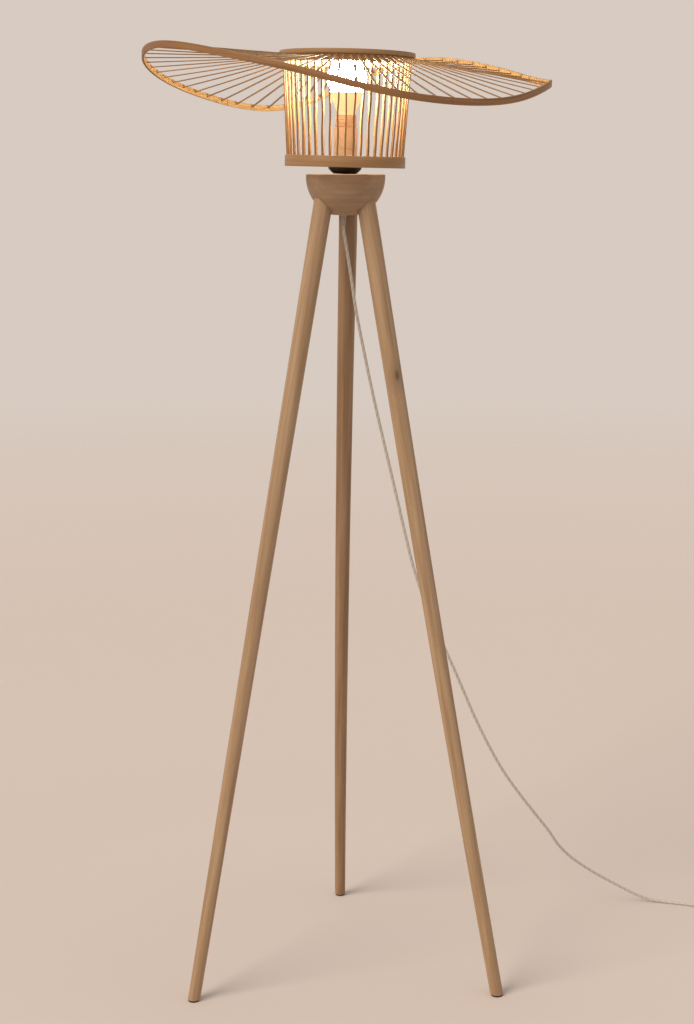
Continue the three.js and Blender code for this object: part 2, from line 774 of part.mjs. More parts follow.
function spiderScrew(i) {
  const headTop = tabInside - clearance;
  const shankEnd = innerLathInside + hoopInnerThickness - clearance;
  const screw = turned([
    [0, headTop - spiderScrewHeadHeight], [spiderScrewHeadRadius, headTop - spiderScrewHeadHeight],
    [spiderScrewHeadRadius, headTop], [spiderScrewRadius, headTop], [spiderScrewRadius, shankEnd],
    [0, shankEnd],
  ], smallSides);
  screw.rotateY(Math.PI / 2).rotateZ(spiderAngle(i)).translate(0, 0, screwHeight);
  return piece(`spider_screw_${i + 1}`, screw, zincSteel);
}

// Middle height of the brim's outer hoop at an angle
function brimHeight(angle) {
  const wave = ({ crests, share, crestAngle }) =>
    brimRise * share * Math.cos(crests * (angle - THREE.MathUtils.degToRad(crestAngle)));
  return brimWaves.reduce((height, each) => height + wave(each), brimMeanHeight);
}

// Thin lath bent round the brim's edge, upright on its narrow side
function brimLath(name, inside, thickness) {
  const loops = [];
  for (let i = 0; i < brimStripCount; i += 1) {
    const angle = (i / brimStripCount) * Math.PI * 2;
    const middle = brimHeight(angle);
    const low = middle - brimLathHeight / 2;
    const high = middle + brimLathHeight / 2;
    loops.push([
      around(angle, inside, low), around(angle, inside + thickness, low),
      around(angle, inside + thickness, high), around(angle, inside, high),
    ]);
  }
  return piece(name, skin(loops, true), bambooHoop);
}

// Radial strips of the brim, joined by the tie that is held under the collar
function brimStrips() {
  const inner = (brimTieInside + brimTieOutside) / 2;
  const outer = brimInnerInside * Math.cos(Math.PI / brimStripCount) - clearance;
  const half = brimStripThickness / 2;
  const bars = [];
  for (let i = 0; i < brimStripCount; i += 1) {
    const angle = ((i + 0.5) / brimStripCount) * Math.PI * 2;
    bars.push(bar(angle, brimStripWidth, [
      { radius: inner, height: brimRootHeight, out: 0, up: half },
      { radius: collarInside + collarThickness, height: brimRootHeight, out: 0, up: half },
      { radius: outer, height: brimHeight(angle), out: 0, up: half },
    ]));
  }
  const tieLow = brimRootHeight - half - brimTieBelow;
  const tie = sleeve(brimTieInside, brimTieOutside, tieLow, drumHigh - drumStripInset, brimStripCount);
  return piece('brim_strips', joined(tie, ...bars), bamboo);
}

function brimCollar() {
  const outside = collarInside + collarThickness;
  const ring = sleeve(collarInside, outside, drumHigh - collarHeight, drumHigh, brimStripCount);
  return piece('brim_collar', ring, bambooHoop);
}

function shade() {
  const topLow = drumHigh - drumHoopHeight;
  const screwHoles = [];
  const screws = [];
  for (let i = 0; i < spiderArmCount; i += 1) {
    const from = innerLathInside - overrun;
    screwHoles.push(radialRod(i, spiderScrewRadius + clearance, from, bottomInnerOutside + overrun));
    screws.push(spiderScrew(i));
  }
  return grouped(
    spider(),
    ...screws,
    hoop('bottom_hoop_outer', bottomOuterInside, hoopOuterThickness, drumLow),
    hoop('bottom_hoop_inner', innerLathInside, hoopInnerThickness, drumLow, screwHoles),
    hoop('top_hoop_outer', topOuterInside, hoopOuterThickness, topLow),
    hoop('top_hoop_inner', topInnerOutside - hoopInnerThickness, hoopInnerThickness, topLow),
    drumStrips(),
    brimCollar(),
    brimStrips(),
    brimLath('brim_lath_outer', brimLathInside, brimLathOuterThickness),
    brimLath('brim_lath_inner', brimInnerInside, brimLathInnerThickness),
  );
}

// Heights of the cord on the floor and in the switch and plug
const cordFloorHeight = cordRadius + cordFloorGap;
const switchCordHeight = switchBaseHeight;
const switchInY = switchY + switchLength / 2 + reliefLength + clearance;
const switchOutY = switchY - switchLength / 2 - reliefLength - clearance;
const plugCordHeight = plugThickness / 2 + cordFloorGap;
const coilTopHeight = cordFloorHeight + coilLayer;

// Free cord from the bush to the switch
function cordRun() {
  const start = bushTip - clearance;
  const points = [
    headPoint(start),
    headPoint(start - cordStraight),
    ...runRoute.map((point) => new THREE.Vector3(...point)),
    new THREE.Vector3(switchX, switchInY + cordStraight, switchCordHeight),
    new THREE.Vector3(switchX, switchInY, switchCordHeight),
  ];
  return piece('cord_run', tube(points, cordRadius, runSteps), clearSheath);
}

// Middle line of the coil, clockwise from above: in, up a layer and out again
function coilPoint(turn) {
  const middle = coilTurns / 2;
  const radius = coilOuterRadius - coilPitch * (middle - Math.abs(turn - middle));
  const climbed = (turn - middle + coilClimbTurns / 2) / coilClimbTurns;
  const share = THREE.MathUtils.smoothstep(climbed, 0, 1);
  const angle = -turn * Math.PI * 2;
  const height = cordFloorHeight + coilLayer * share;
  return new THREE.Vector3(coilX + radius * Math.cos(angle), coilY + radius * Math.sin(angle), height);
}

// Least gap between two turns of the coil
function coilGap(points) {
  const apart = coilStepsPerTurn / 2;
  let least = Infinity;
  for (let i = 0; i < points.length; i += 1) {
    for (let j = i + apart; j < points.length; j += 1) {
      least = Math.min(least, points[i].distanceTo(points[j]));
    }
  }
  return least - 2 * cordRadius;
}

function cordCoil() {
  const steps = coilTurns * coilStepsPerTurn;
  const points = [];
  const loops = [];
  for (let k = 0; k <= steps; k += 1) {
    const turn = k / coilStepsPerTurn;
    const centre = coilPoint(turn);
    points.push(centre);
    const outward = new THREE.Vector3(centre.x - coilX, centre.y - coilY, 0).normalize();
    const loop = [];
    for (let s = 0; s < coilSides; s += 1) {
      const angle = ((s + 0.5) / coilSides) * Math.PI * 2;
      const point = centre.clone().addScaledVector(outward, cordRadius * Math.cos(angle));
      point.z += cordRadius * Math.sin(angle);
      loop.push(point);
    }
    loops.push(loop);
  }
  console.log(`cord_coil: least gap between turns ${coilGap(points).toFixed(2)} mm`);
  return piece('cord_coil', skin(loops), clearSheath);
}

// Cord from the switch to the coil, which it meets with a gap at the coil's first point
function cordLead() {
  const end = coilPoint(0);
  const reach = switchOutY - end.y - clearance;
  const drop = switchCordHeight - end.z;
  const points = leadShares.map(([along, down]) => {
    const x = switchX + (end.x - switchX) * down;
    return new THREE.Vector3(x, switchOutY - along * reach, switchCordHeight - down * drop);
  });
  return piece('cord_lead', tube(points, cordRadius, leadSteps), clearSheath);
}

// Plug's place: in line with the coil's last turn, which ends on the coil's left side heading back
const plugEnd = coilPoint(coilTurns);
const plugTipY = plugEnd.y + plugGap;

function cordTail() {
  const reach = plugGap - 2 * clearance;
  const drop = plugEnd.z - plugCordHeight;
  const points = tailShares.map(([along, down]) =>
    new THREE.Vector3(plugEnd.x, plugEnd.y + clearance + along * reach, plugEnd.z - down * drop));
  return piece('cord_tail', tube(points, cordRadius, tailSteps), clearSheath);
}

// Tapered relief from a small tip to a wide root, along +Y from the origin
function relief(length, tipRadius, rootRadius) {
  const taper = [[0, 0], [tipRadius, 0], [rootRadius, length], [0, length]];
  return turned(taper, smallSides).rotateX(-Math.PI / 2);
}

// Outline of the switch seen from above: a long lozenge with narrower ends
function switchOutline(inset, height) {
  const halfLength = switchLength / 2 - inset;
  const halfWidth = switchWidth / 2 - inset;
  const halfEnd = switchEndWidth / 2 - inset;
  const waist = halfLength - switchEndShare * switchLength;
  return [
    [halfEnd, -halfLength], [halfWidth, -waist], [halfWidth, waist], [halfEnd, halfLength],
    [-halfEnd, halfLength], [-halfWidth, waist], [-halfWidth, -waist], [-halfEnd, -halfLength],
  ].map(([x, y]) => new THREE.Vector3(x, y, height));
}

function switchParts() {
  const split = switchBaseHeight;
  const coverLow = split + clearance;
  const coverHigh = coverLow + switchCoverHeight;
  const floorGap = cordFloorGap;
  const screwHole = rod(switchScrewRadius + clearance, -overrun, split + overrun, smallSides);
  const headHigh = switchScrewHeadHeight + 2 * floorGap;
  const headHole = rod(switchScrewHeadRadius + clearance, -overrun, headHigh, smallSides);
  const baseCavity = skin([
    switchOutline(switchWall, switchWall),
    switchOutline(switchWall, split + overrun),
  ]);
  const pillarRadius = switchScrewRadius + switchWall;
  const pillar = rod(pillarRadius, switchWall / 2, split, smallSides).translate(0, switchScrewAt, 0);
  const shellBase = cut(skin([switchOutline(0, floorGap), switchOutline(0, split)]), baseCavity);
  const base = cut(
    joined(shellBase, pillar),
    screwHole.translate(0, switchScrewAt, 0),
    headHole.translate(0, switchScrewAt, 0),
  );
  const coverCavity = skin([
    switchOutline(switchWall, coverLow - overrun),
    switchOutline(switchWall + switchCoverInset, coverHigh - switchWall),
  ]);
  const window = block(switchWindowWidth, switchWindowLength, coverLow - overrun, coverHigh + overrun);
  const pivotHeight = coverHigh - rockerDrop;
  const pinHole = rod(
    rockerPinRadius + rockerRunning,
    -(switchWindowWidth / 2 + rockerPinReach + rockerRunning),
    switchWindowWidth / 2 + rockerPinReach + rockerRunning,
    smallSides,
  ).rotateY(Math.PI / 2).translate(0, 0, pivotHeight);
  const cheekWidth = switchWindowWidth + 2 * switchCheek;
  const cheekLow = pivotHeight - rockerPinRadius - switchWall;
  const cheeks = block(cheekWidth, switchWindowLength / 2, cheekLow, coverHigh - switchWall / 2);
  const lid = skin([switchOutline(0, coverLow), switchOutline(switchCoverInset, coverHigh)]);
  const cover = cut(joined(cut(lid, coverCavity), cheeks), window, pinHole);
  const screw = turned([
    [0, floorGap], [switchScrewHeadRadius, floorGap],
    [switchScrewHeadRadius, floorGap + switchScrewHeadHeight],
    [switchScrewRadius, floorGap + switchScrewHeadHeight], [switchScrewRadius, split - clearance],
    [0, split - clearance],
  ], smallSides).translate(0, switchScrewAt, 0);
  const group = grouped(
    piece('switch_base', base, whitePlastic),
    piece('switch_cover', cover, whitePlastic),
    piece('switch_screw', screw, zincSteel),
    rocker(pivotHeight),
  );
  group.position.set(switchX, switchY, 0);
  return group;
}

// Rocker of the switch, drawn about its pivot and tipped to one side, as it lies when switched on
function rocker(pivotHeight) {
  const halfLength = switchWindowLength / 2 - rockerRunning - rockerHornHeight * Math.sin(rockerTilt);
  const width = switchWindowWidth - 2 * rockerRunning;
  const low = -rockerBodyHeight / 2;
  const foot = halfLength * rockerFootShare;
  const horn = rockerDrop + rockerHornHeight * rockerHornShare;
  const outline = new THREE.Shape([
    new THREE.Vector2(-foot, low), new THREE.Vector2(foot, low),
    new THREE.Vector2(halfLength, 0), new THREE.Vector2(halfLength, horn),
    new THREE.Vector2(0, rockerDrop), new THREE.Vector2(-halfLength, horn),
    new THREE.Vector2(-halfLength, 0),
  ]);
  const body = new THREE.ExtrudeGeometry(outline, { depth: width, bevelEnabled: false });
  body.translate(0, 0, -width / 2).rotateY(Math.PI / 2).rotateX(Math.PI / 2);
  const reach = switchWindowWidth / 2 + rockerPinReach;
  const pins = rod(rockerPinRadius, -reach, reach, smallSides).rotateY(Math.PI / 2);
  const mesh = piece('switch_rocker', joined(body, pins), whitePlastic);
  mesh.rotation.x = rockerTilt;
  mesh.position.z = pivotHeight;
  return mesh;
}

function switchReliefs() {
  const inwards = piece(
    'switch_relief_in',
    relief(reliefLength - clearance, reliefTipRadius, switchEndWidth / 2 - switchWall).rotateZ(Math.PI),
    whitePlastic,
  );
  inwards.position.set(switchX, switchY + switchLength / 2 + reliefLength, switchCordHeight);
  const outwards = piece(
    'switch_relief_out',
    relief(reliefLength - clearance, reliefTipRadius, switchEndWidth / 2 - switchWall),
    whitePlastic,
  );
  outwards.position.set(switchX, switchY - switchLength / 2 - reliefLength, switchCordHeight);
  return grouped(inwards, outwards);
}

// Section of the plug's body with cut corners, across Y
function plugSection(width, thickness, y) {
  const corner = thickness * plugCornerShare;
  const x = width / 2;
  const z = thickness / 2;
  return [
    [x - corner, -z], [x, -z + corner], [x, z - corner], [x - corner, z],
    [-x + corner, z], [-x, z - corner], [-x, -z + corner], [-x + corner, -z],
  ].map(([px, pz]) => new THREE.Vector3(px, y, pz));
}

function plug() {
  const bodyLow = plugReliefLength + clearance;
  const shoulder = bodyLow + plugLength * plugShoulderShare;
  const face = bodyLow + plugLength;
  const body = skin([
    plugSection(plugRearWidth, plugRearThickness, bodyLow),
    plugSection(plugWidth, plugThickness, shoulder),
    plugSection(plugWidth, plugThickness, face),
  ]);
  const pinHole = (side) => rod(pinRadius + clearance, face - pinRootLength, face + overrun, smallSides)
    .rotateX(-Math.PI / 2)
    .translate((side * pinSpacing) / 2, 0, 0);
  const pin = (side) => rod(pinRadius, face - pinRootLength + clearance, face + pinLength, smallSides)
    .rotateX(-Math.PI / 2)
    .translate((side * pinSpacing) / 2, 0, 0);
  const group = grouped(
    piece('plug_relief', relief(plugReliefLength, reliefTipRadius, plugReliefRadius), whitePlastic),
    piece('plug_body', cut(body, pinHole(1), pinHole(-1)), whitePlastic),
    piece('plug_pin_line', pin(1), zincSteel),
    piece('plug_pin_neutral', pin(-1), zincSteel),
  );
  group.position.set(plugEnd.x, plugTipY, plugCordHeight);
  return group;
}

// The whole lamp
const head = grouped(
  clampParts(),
  cordBush(),
  seatCup(),
  fibreWasher(),
  holderCap(),
  holderBody(),
  holderInside(),
  innerWiring(),
  bulb(),
  shade(),
);
head.applyMatrix4(headPlace);

const lamp = grouped(
  hub(),
  ...legs.map(leg),
  head,
  cordRun(),
  switchParts(),
  switchReliefs(),
  cordLead(),
  cordCoil(),
  cordTail(),
  plug(),
);

export default lamp;
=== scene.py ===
# Bamboo tripod floor lamp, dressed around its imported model, with +Z up and the front towards -Y.
# The lamp's sizes are in millimetres, and makeMesh brings them to metres. All else is in metres.
import random
from math import acos, asin, copysign, cos, degrees, hypot, pi, radians, sin

import bmesh
import bpy
from mathutils import Matrix, Vector


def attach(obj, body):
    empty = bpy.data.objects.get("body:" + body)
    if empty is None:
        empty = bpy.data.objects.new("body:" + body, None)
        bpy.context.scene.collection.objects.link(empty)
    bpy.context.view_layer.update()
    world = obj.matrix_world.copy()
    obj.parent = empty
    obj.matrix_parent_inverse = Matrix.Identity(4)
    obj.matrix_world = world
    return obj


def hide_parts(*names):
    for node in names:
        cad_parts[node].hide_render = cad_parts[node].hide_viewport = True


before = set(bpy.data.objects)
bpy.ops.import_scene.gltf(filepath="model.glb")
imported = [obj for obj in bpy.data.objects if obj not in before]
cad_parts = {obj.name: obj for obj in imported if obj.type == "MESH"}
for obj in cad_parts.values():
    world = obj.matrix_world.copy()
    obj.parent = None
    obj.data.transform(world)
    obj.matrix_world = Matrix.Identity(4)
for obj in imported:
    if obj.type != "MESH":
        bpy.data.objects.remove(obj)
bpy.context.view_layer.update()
scene = bpy.context.scene
chance = random.Random(12)
fullTurn = 2 * pi
mm = 0.001


def linked(name, data):   # a new object in the scene
    thing = bpy.data.objects.new(name, data)
    scene.collection.objects.link(thing)
    return thing


def stood(place, x, y, z):   # a place with its own three axes
    return Matrix.Translation(place) @ Matrix((x, y, z)).transposed().to_4x4()


# Camera, found from the legs and the floor line of the photograph

viewpoint = dict(place=(0, -2.8211, 1.3112), pitch=0.1906, yaw=0.0017, roll=0.0023,
                 focalPixels=1800, tallPixels=1024, shiftPixels=(-0.1, 0.5), sensor=36)


def makeCamera(place, pitch, yaw, roll, focalPixels, tallPixels, shiftPixels, sensor):
    data = bpy.data.cameras.new("viewpoint")
    level = Vector((cos(yaw), -sin(yaw), 0))
    ahead = Vector((sin(yaw) * cos(pitch), cos(yaw) * cos(pitch), -sin(pitch)))
    above = level.cross(ahead)
    right = level * cos(roll) + above * sin(roll)
    up = above * cos(roll) - level * sin(roll)
    data.sensor_width = sensor
    data.lens = focalPixels / tallPixels * sensor
    data.shift_x, data.shift_y = (pixels / tallPixels for pixels in shiftPixels)
    scene.camera = linked("viewpoint", data)
    scene.camera.matrix_world = stood(place, right, up, -ahead)


makeCamera(**viewpoint)
print("camera is set")


# Shader sums: a socket that takes part in Python expressions, and the board it sits on

class Wire:
    def __init__(self, board, socket):
        self.board, self.socket = board, socket

    def math(self, operation, *values):
        return self.board.add("Math", {"operation": operation}, values or [self])

    def __add__(self, other):
        return self.math("ADD", self, other)

    def __sub__(self, other):
        return self.math("SUBTRACT", self, other)

    def __rsub__(self, other):
        return self.math("SUBTRACT", other, self)

    def __mul__(self, other):
        return self.math("MULTIPLY", self, other)

    def __truediv__(self, other):
        return self.math("DIVIDE", self, other)

    def __rtruediv__(self, other):
        return self.math("DIVIDE", other, self)

    def __abs__(self):
        return self.math("ABSOLUTE")

    __radd__, __rmul__ = __add__, __mul__


class Board:
    def __init__(self, tree):
        self.tree = tree

    def add(self, kind, settings=None, sockets=None, out=0):   # a text in a socket is a colour's code
        node = self.tree.nodes.new("ShaderNode" + kind)
        for key, value in (settings or {}).items():
            if key == "stops":
                stops = node.color_ramp.elements
                while len(stops) < len(value):
                    stops.new(0.5)
                for stop, (place, code) in zip(stops, value):
                    stop.position, stop.color = place, tone(code)
            else:
                setattr(node, key, value)
        pairs = sockets.items() if isinstance(sockets, dict) else enumerate(sockets or [])
        for key, value in pairs:
            if isinstance(value, Wire):
                self.tree.links.new(value.socket, node.inputs[key])
            else:
                node.inputs[key].default_value = tone(value) if isinstance(value, str) else value
        return Wire(self, node.outputs[out])

    def blend(self, factor, first, second):
        return self.add("Mix", {"data_type": "RGBA"}, {0: factor, 6: first, 7: second}, out=2)

    def stretch(self, vector, scale):
        return self.add("VectorMath", {"operation": "MULTIPLY"}, [vector, scale])

    def noise(self, vector, scale, detail=3, rough=0.55):
        sockets = {"Vector": vector, "Scale": scale, "Detail": detail, "Roughness": rough}
        return self.add("TexNoise", None, sockets)

    def clamped(self, value, low=0, high=1):
        return self.add("MapRange", {"clamp": True}, {0: value, 1: low, 2: high, 3: 0, 4: 1})

    def bump(self, height, strength, distance):
        return self.add("Bump", None, {"Height": height, "Strength": strength, "Distance": distance})

    def mark(self, name, out):   # what the mesh says at each point: a vector from out 1, a number from out 2
        return self.add("Attribute", {"attribute_name": name}, out=out)

    def here(self):
        return self.add("TexCoord", out=3)

    def show(self, shader, output):
        self.tree.links.new(shader.socket, output.inputs["Surface"])


def tone(code):
    parts = [int(code[i:i + 2], 16) / 255 for i in (0, 2, 4)]
    return tuple(c / 12.92 if c <= 0.04045 else ((c + 0.055) / 1.055) ** 2.4 for c in parts) + (1.0,)


def makeFinish(name, fixed, draw):
    material = bpy.data.materials.new(name)
    material.use_nodes = True
    surface = material.node_tree.nodes["Principled BSDF"]
    for socket, value in fixed.items():
        surface.inputs[socket].default_value = value
    for socket, wire in draw(Board(material.node_tree)).items():
        material.node_tree.links.new(wire.socket, surface.inputs[socket])
    return material


# Finishes. Wood reads each piece's own "grain" place, with Z along the fibre, and its "tint"

def woodFinish(name, fixed, spec):
    def draw(b):
        grain, tint = b.mark("grain", 1), b.mark("tint", 2)
        figure = b.noise(b.stretch(grain, (1, 1, spec["figureStretch"])), spec["figureScale"], 4, 0.6)
        fibre = b.noise(b.stretch(grain, (1, 1, 0.02)), spec["fibreScale"], 3, 0.65)
        pore = b.clamped(b.noise(b.stretch(grain, (1, 1, 0.05)), spec["fibreScale"] * 1.6, 2), 0.6, 0.72)
        stops = [(0.3, spec["dark"]), (0.5, spec["middle"]), (0.7, spec["light"])]
        shaded = b.add("ValToRGB", {"stops": stops}, [figure])
        shaded = b.blend(fibre * spec["fibreDepth"], shaded, spec["line"])
        shaded = b.blend(pore * spec["poreDepth"], shaded, spec["line"])
        shaded = b.blend(tint * spec["tintDepth"], shaded, spec["tintTo"])
        height = fibre + figure * 0.4 - pore * 0.5
        if spec.get("bands"):   # faint rings left by turning
            turned = b.noise(b.stretch(b.here(), (0, 0, 1)), spec["bands"], 3, 0.6)
            shaded = b.blend(b.clamped(turned, 0.42, 0.68) * spec["bandDepth"], shaded, spec["line"])
            height = height + turned * 1.2
        if spec.get("ringSpacing"):   # the joints across a bamboo cane
            along = b.add("SeparateXYZ", None, [grain], out=2)
            place = (along / spec["ringSpacing"] + tint * 5.3).math("FRACT")
            ring = b.clamped(abs(place - 0.5) * spec["ringSpacing"], spec["ringWidth"], 0)
            shaded = b.blend(ring * 0.7, shaded, spec["ringTone"])
            height = height + ring * 1.5
        if spec.get("knot"):   # a small dark eye in a soft halo
            squeeze = (1, 1, spec["knotSqueeze"])
            middle = [place * share for place, share in zip(spec["knot"], squeeze)]
            spot = b.stretch(b.here(), squeeze)
            away = b.add("VectorMath", {"operation": "DISTANCE"}, [spot, middle], out=1)
            eye = b.clamped(away + (fibre - 0.5) * 0.004, spec["knotSize"], spec["knotSize"] * 0.3)
            halo = b.clamped(away, spec["knotSize"] * 3, spec["knotSize"])
            shaded = b.blend(halo * 0.35, shaded, spec["line"])
            shaded = b.blend(eye * 0.75, shaded, spec["knotTone"])
        return {"Base Color": shaded, "Roughness": fibre * 0.22 + spec["rough"],
                "Normal": b.bump(height, spec["relief"], 0.0004)}
    return makeFinish(name, fixed, draw)


legTones = dict(dark="957658", middle="ac8d6c", light="bea080", line="755941", tintTo="9f7d56",
                tintDepth=0.25, figureStretch=0.035, figureScale=150, fibreScale=900, fibreDepth=0.34,
                poreDepth=0.3, rough=0.42, relief=0.12, knot=(0.0815, -0.0534, 0.9926), knotSize=0.0052,
                knotSqueeze=0.45, knotTone="5d4028")   # the knot's place is on the right leg
# painted shade: the back leg's wood is a darker, warmer copy of the leg wood, for the shade that falls on it
backLegPaintedShadeTones = dict(legTones, dark="856547", middle="9a7959", light="aa8a6a", line="684c34", tintTo="8e6b46")
hubTones = dict(dark="95785c", middle="a38567", light="ae9071", line="775b40", tintTo="a08361",
                tintDepth=0.2, figureStretch=0.05, figureScale=70, fibreScale=700, fibreDepth=0.26,
                poreDepth=0.2, rough=0.46, relief=0.08, bands=130, bandDepth=0.3)
hoopTones = dict(dark="967046", middle="aa8255", light="bb9467", line="785330", tintTo="8e683f",
                 tintDepth=0.3, figureStretch=0.02, figureScale=420, fibreScale=1700, fibreDepth=0.42,
                 poreDepth=0.35, rough=0.4, relief=0.16, ringSpacing=0.29, ringWidth=0.0022,
                 ringTone="7c5330")
# painted shade: the outer brim lath is a darker copy of the hoop bamboo, for the shade on its outer face
outerLathPaintedShadeTones = dict(hoopTones, dark="7f562d", middle="946638", light="a67a49", line="5f3d1e", tintTo="7f552d")
# painted light: the inner brim lath is a lighter copy of the hoop bamboo, for the bulb's light on its inner
# face
innerLathPaintedLightTones = dict(hoopTones, dark="a17b49", middle="b8905b", light="caa36f", line="7f5b31", tintTo="9b7342")
stripTones = dict(hoopTones, dark="8c6536", middle="a17746", light="b68b57", line="6a4a28",
                  tintTo="76522d", tintDepth=0.5, figureScale=500, fibreScale=2000, fibreDepth=0.4,
                  poreDepth=0.3, rough=0.42, relief=0.14, ringSpacing=0.26, ringWidth=0.0016,
                  ringTone="5e3c1e")
sheathTones = dict(core="c8c0b4", strand="b8afa2", valleyShade="b5ac9e", radius=0.0025, lay=0.024,
                   strandLay=0.0016, rough=0.26)


def drawSheath(b):   # two twisted cores of fine strands, seen through a clear sheath
    spec, wind = sheathTones, b.mark("grain", 1)
    x, y, along = (b.add("SeparateXYZ", None, [wind], out=k) for k in range(3))
    twist = along * (fullTurn / spec["lay"])
    across = (x * twist.math("COSINE") + y * twist.math("SINE")) / spec["radius"]
    core = b.clamped(abs(across), 0.25, 0.75)
    strand = (along * (fullTurn / spec["strandLay"]) + across * 9).math("SINE")
    # the groove between the two cores is a little darker: painted shade
    body = b.blend(core, spec["valleyShade"], spec["core"])
    body = b.blend(b.clamped(strand, -0.4) * core * 0.22, body, spec["strand"])
    return {"Base Color": body, "Roughness": b.noise(b.here(), 60) * 0.15 + spec["rough"],
            "Normal": b.bump(core, 0.15, 0.0003)}


# Finish of two tones, with the scale of the cloud that mixes them, and the roughness
def plain(name, fixed, first, second, cloud, rough, contrast=0.2, vary=0.2, relief=0.08, grit=1500):
    def draw(b):
        patch = b.noise(b.here(), cloud, 4, 0.6)
        return {"Base Color": b.blend(b.clamped(patch, 0.5 - contrast, 0.5 + contrast), first, second),
                "Roughness": patch * vary + rough,
                "Normal": b.bump(b.noise(b.here(), grit, 2, 0.5), relief, 0.0002)}
    return makeFinish(name, fixed, draw)


def drawOpal(b):
    cloud = b.noise(b.here(), 30, 2)
    return {"Emission Color": b.blend(cloud * 0.3, "ffefd2", "ffe6bd"), "Roughness": cloud * 0.1 + 0.2}


def drawBasePaintedGlow(b):   # painted light: the bulb's cream plastic base is tinted warm and glows faintly, for the light that falls on it inside the shade
    cloud = b.noise(b.here(), 60)
    return {"Base Color": b.blend(cloud * 0.5, "f3e2c2", "ecd7b0"),
            "Emission Color": b.blend(cloud * 0.4, "ffcb86", "ffc274"), "Roughness": cloud * 0.12 + 0.34}


def coated(weight, rough):
    return {"Coat Weight": weight, "Coat Roughness": rough}


wood, metal = {"Specular IOR Level": 0.4}, {"Metallic": 1}
# the bulb base's small emission is painted light; the globe's emission is the lamp's own
basePaintedGlow, opal = {"Coat Weight": 0.1, "Emission Strength": 0.45}, {"Emission Strength": 185}
plastic, core = dict(contrast=0.25, vary=0.14), dict(vary=0.15, relief=0.05, grit=1200)
finishes = {
    "leg": woodFinish("legWood", wood, legTones),
    "backLeg": woodFinish("backLegWoodPaintedShade", wood, backLegPaintedShadeTones),
    "hub": woodFinish("hubWood", wood, hubTones),
    "hoop": woodFinish("bambooLath", {}, hoopTones),
    "lath": woodFinish("outerLathPaintedShade", {}, outerLathPaintedShadeTones),
    "paintedLitLath": woodFinish("innerLathPaintedLightBamboo", {}, innerLathPaintedLightTones),
    "strip": woodFinish("bambooStrip", {}, stripTones),
    "sheath": makeFinish("clearSheath", coated(0.6, 0.1), drawSheath),
    "basePaintedGlow": makeFinish("plasticPaintedGlow", basePaintedGlow, drawBasePaintedGlow),
    "opal": makeFinish("opalGlass", {"Base Color": tone("fff6e6"), **opal}, drawOpal),
    "black": plain("blackSteel", {"Metallic": 0.5}, "1d1b19", "292521", 40, 0.34, relief=0.2, grit=2600),
    "zinc": plain("zincSteel", metal, "aeb0ae", "c6c5bd", 240, 0.24, contrast=0.15, vary=0.24, relief=0.06,
                  grit=1800),
    "brass": plain("brass", metal, "b9954a", "9c7a3a", 180, 0.24, vary=0.25, relief=0.05, grit=1600),
    "bulbMetal": plain("bulbCapMetal", metal, "bdbdb9", "a4a39f", 160, 0.22, vary=0.25),
    "fibre": plain("pressedFibre", {}, "5a3d31", "74523f", 900, 0.75, contrast=0.15, relief=0.4, grit=3000),
    # painted light: the lampholder's cream plastic is tinted tan for the bulb's warm light on it
    "creamPaintedWarmLight": plain("creamPlasticPaintedWarmLight", coated(0.15, 0.2), "dfbc92", "d6b085", 50, 0.34, relief=0.06, **plastic),
    "white": plain("whitePlastic", coated(0.1, 0.2), "e4e2dc", "dbd8d0", 60, 0.34, grit=1900, **plastic),
    "bush": plain("smokyPlastic", coated(0.2, 0.2), "a39685", "b0a392", 120, 0.32, grit=1900, **plastic),
    "ceramic": plain("ceramicWhite", coated(0.3, 0.12), "ece7dc", "dcd4c5", 300, 0.3, relief=0.1),
    "blackGlass": plain("blackGlass", {}, "15131a", "1f1c22", 200, 0.1, vary=0.1, relief=0.03, grit=1200),
    "rubber": plain("footRubber", {}, "231f1c", "38322c", 260, 0.75, relief=0.35, grit=2200),
    "blueCore": plain("blueCore", {}, "2f5f9e", "3b6ba8", 90, 0.4, **core),
    "brownCore": plain("brownCore", {}, "6b4226", "7a4e30", 90, 0.4, **core),
}
print("finishes are made")


# Mesh making

def circle(sides, height, radius):   # a level loop, whose radius is a number or depends on the corner
    loop = []
    for j in range(sides):
        turn, reach = fullTurn * j / sides, radius(j) if callable(radius) else radius
        loop.append((reach * cos(turn), reach * sin(turn), height))
    return loop


class Stock:
    def __init__(self):
        self.points, self.faces, self.grain, self.tint = [], [], [], []

    def loft(self, loops, marks=None, tint=0.5, ring=False):
        start, sides, count = len(self.points), len(loops[0]), len(loops)
        self.points += [p for loop in loops for p in loop]
        self.grain += [p for loop in marks or loops for p in loop]
        self.tint += [tint] * (sides * count)
        for i in range(count if ring else count - 1):
            row, above = start + i * sides, start + (i + 1) % count * sides
            for j in range(sides):
                k = (j + 1) % sides
                self.faces.append((row + j, row + k, above + k, above + j))
        if not ring:
            self.faces.append(tuple(range(start + sides - 1, start - 1, -1)))
            self.faces.append(tuple(range(start + (count - 1) * sides, start + count * sides)))
        return self

    def turn(self, profile, steps=64, ring=False):
        return self.loft([circle(steps, height, radius) for radius, height in profile], ring=ring)


def worked(mesh, *jobs):
    work = bmesh.new()
    work.from_mesh(mesh)
    for job in jobs:
        job(work)
    work.to_mesh(mesh)
    work.free()
    return mesh


def faceOut(work):
    bmesh.ops.recalc_face_normals(work, faces=work.faces)


def weld(work):
    bmesh.ops.remove_doubles(work, verts=work.verts, dist=2e-6)


def joinFlats(work):
    bmesh.ops.dissolve_limit(work, angle_limit=radians(1), verts=work.verts, edges=work.edges)


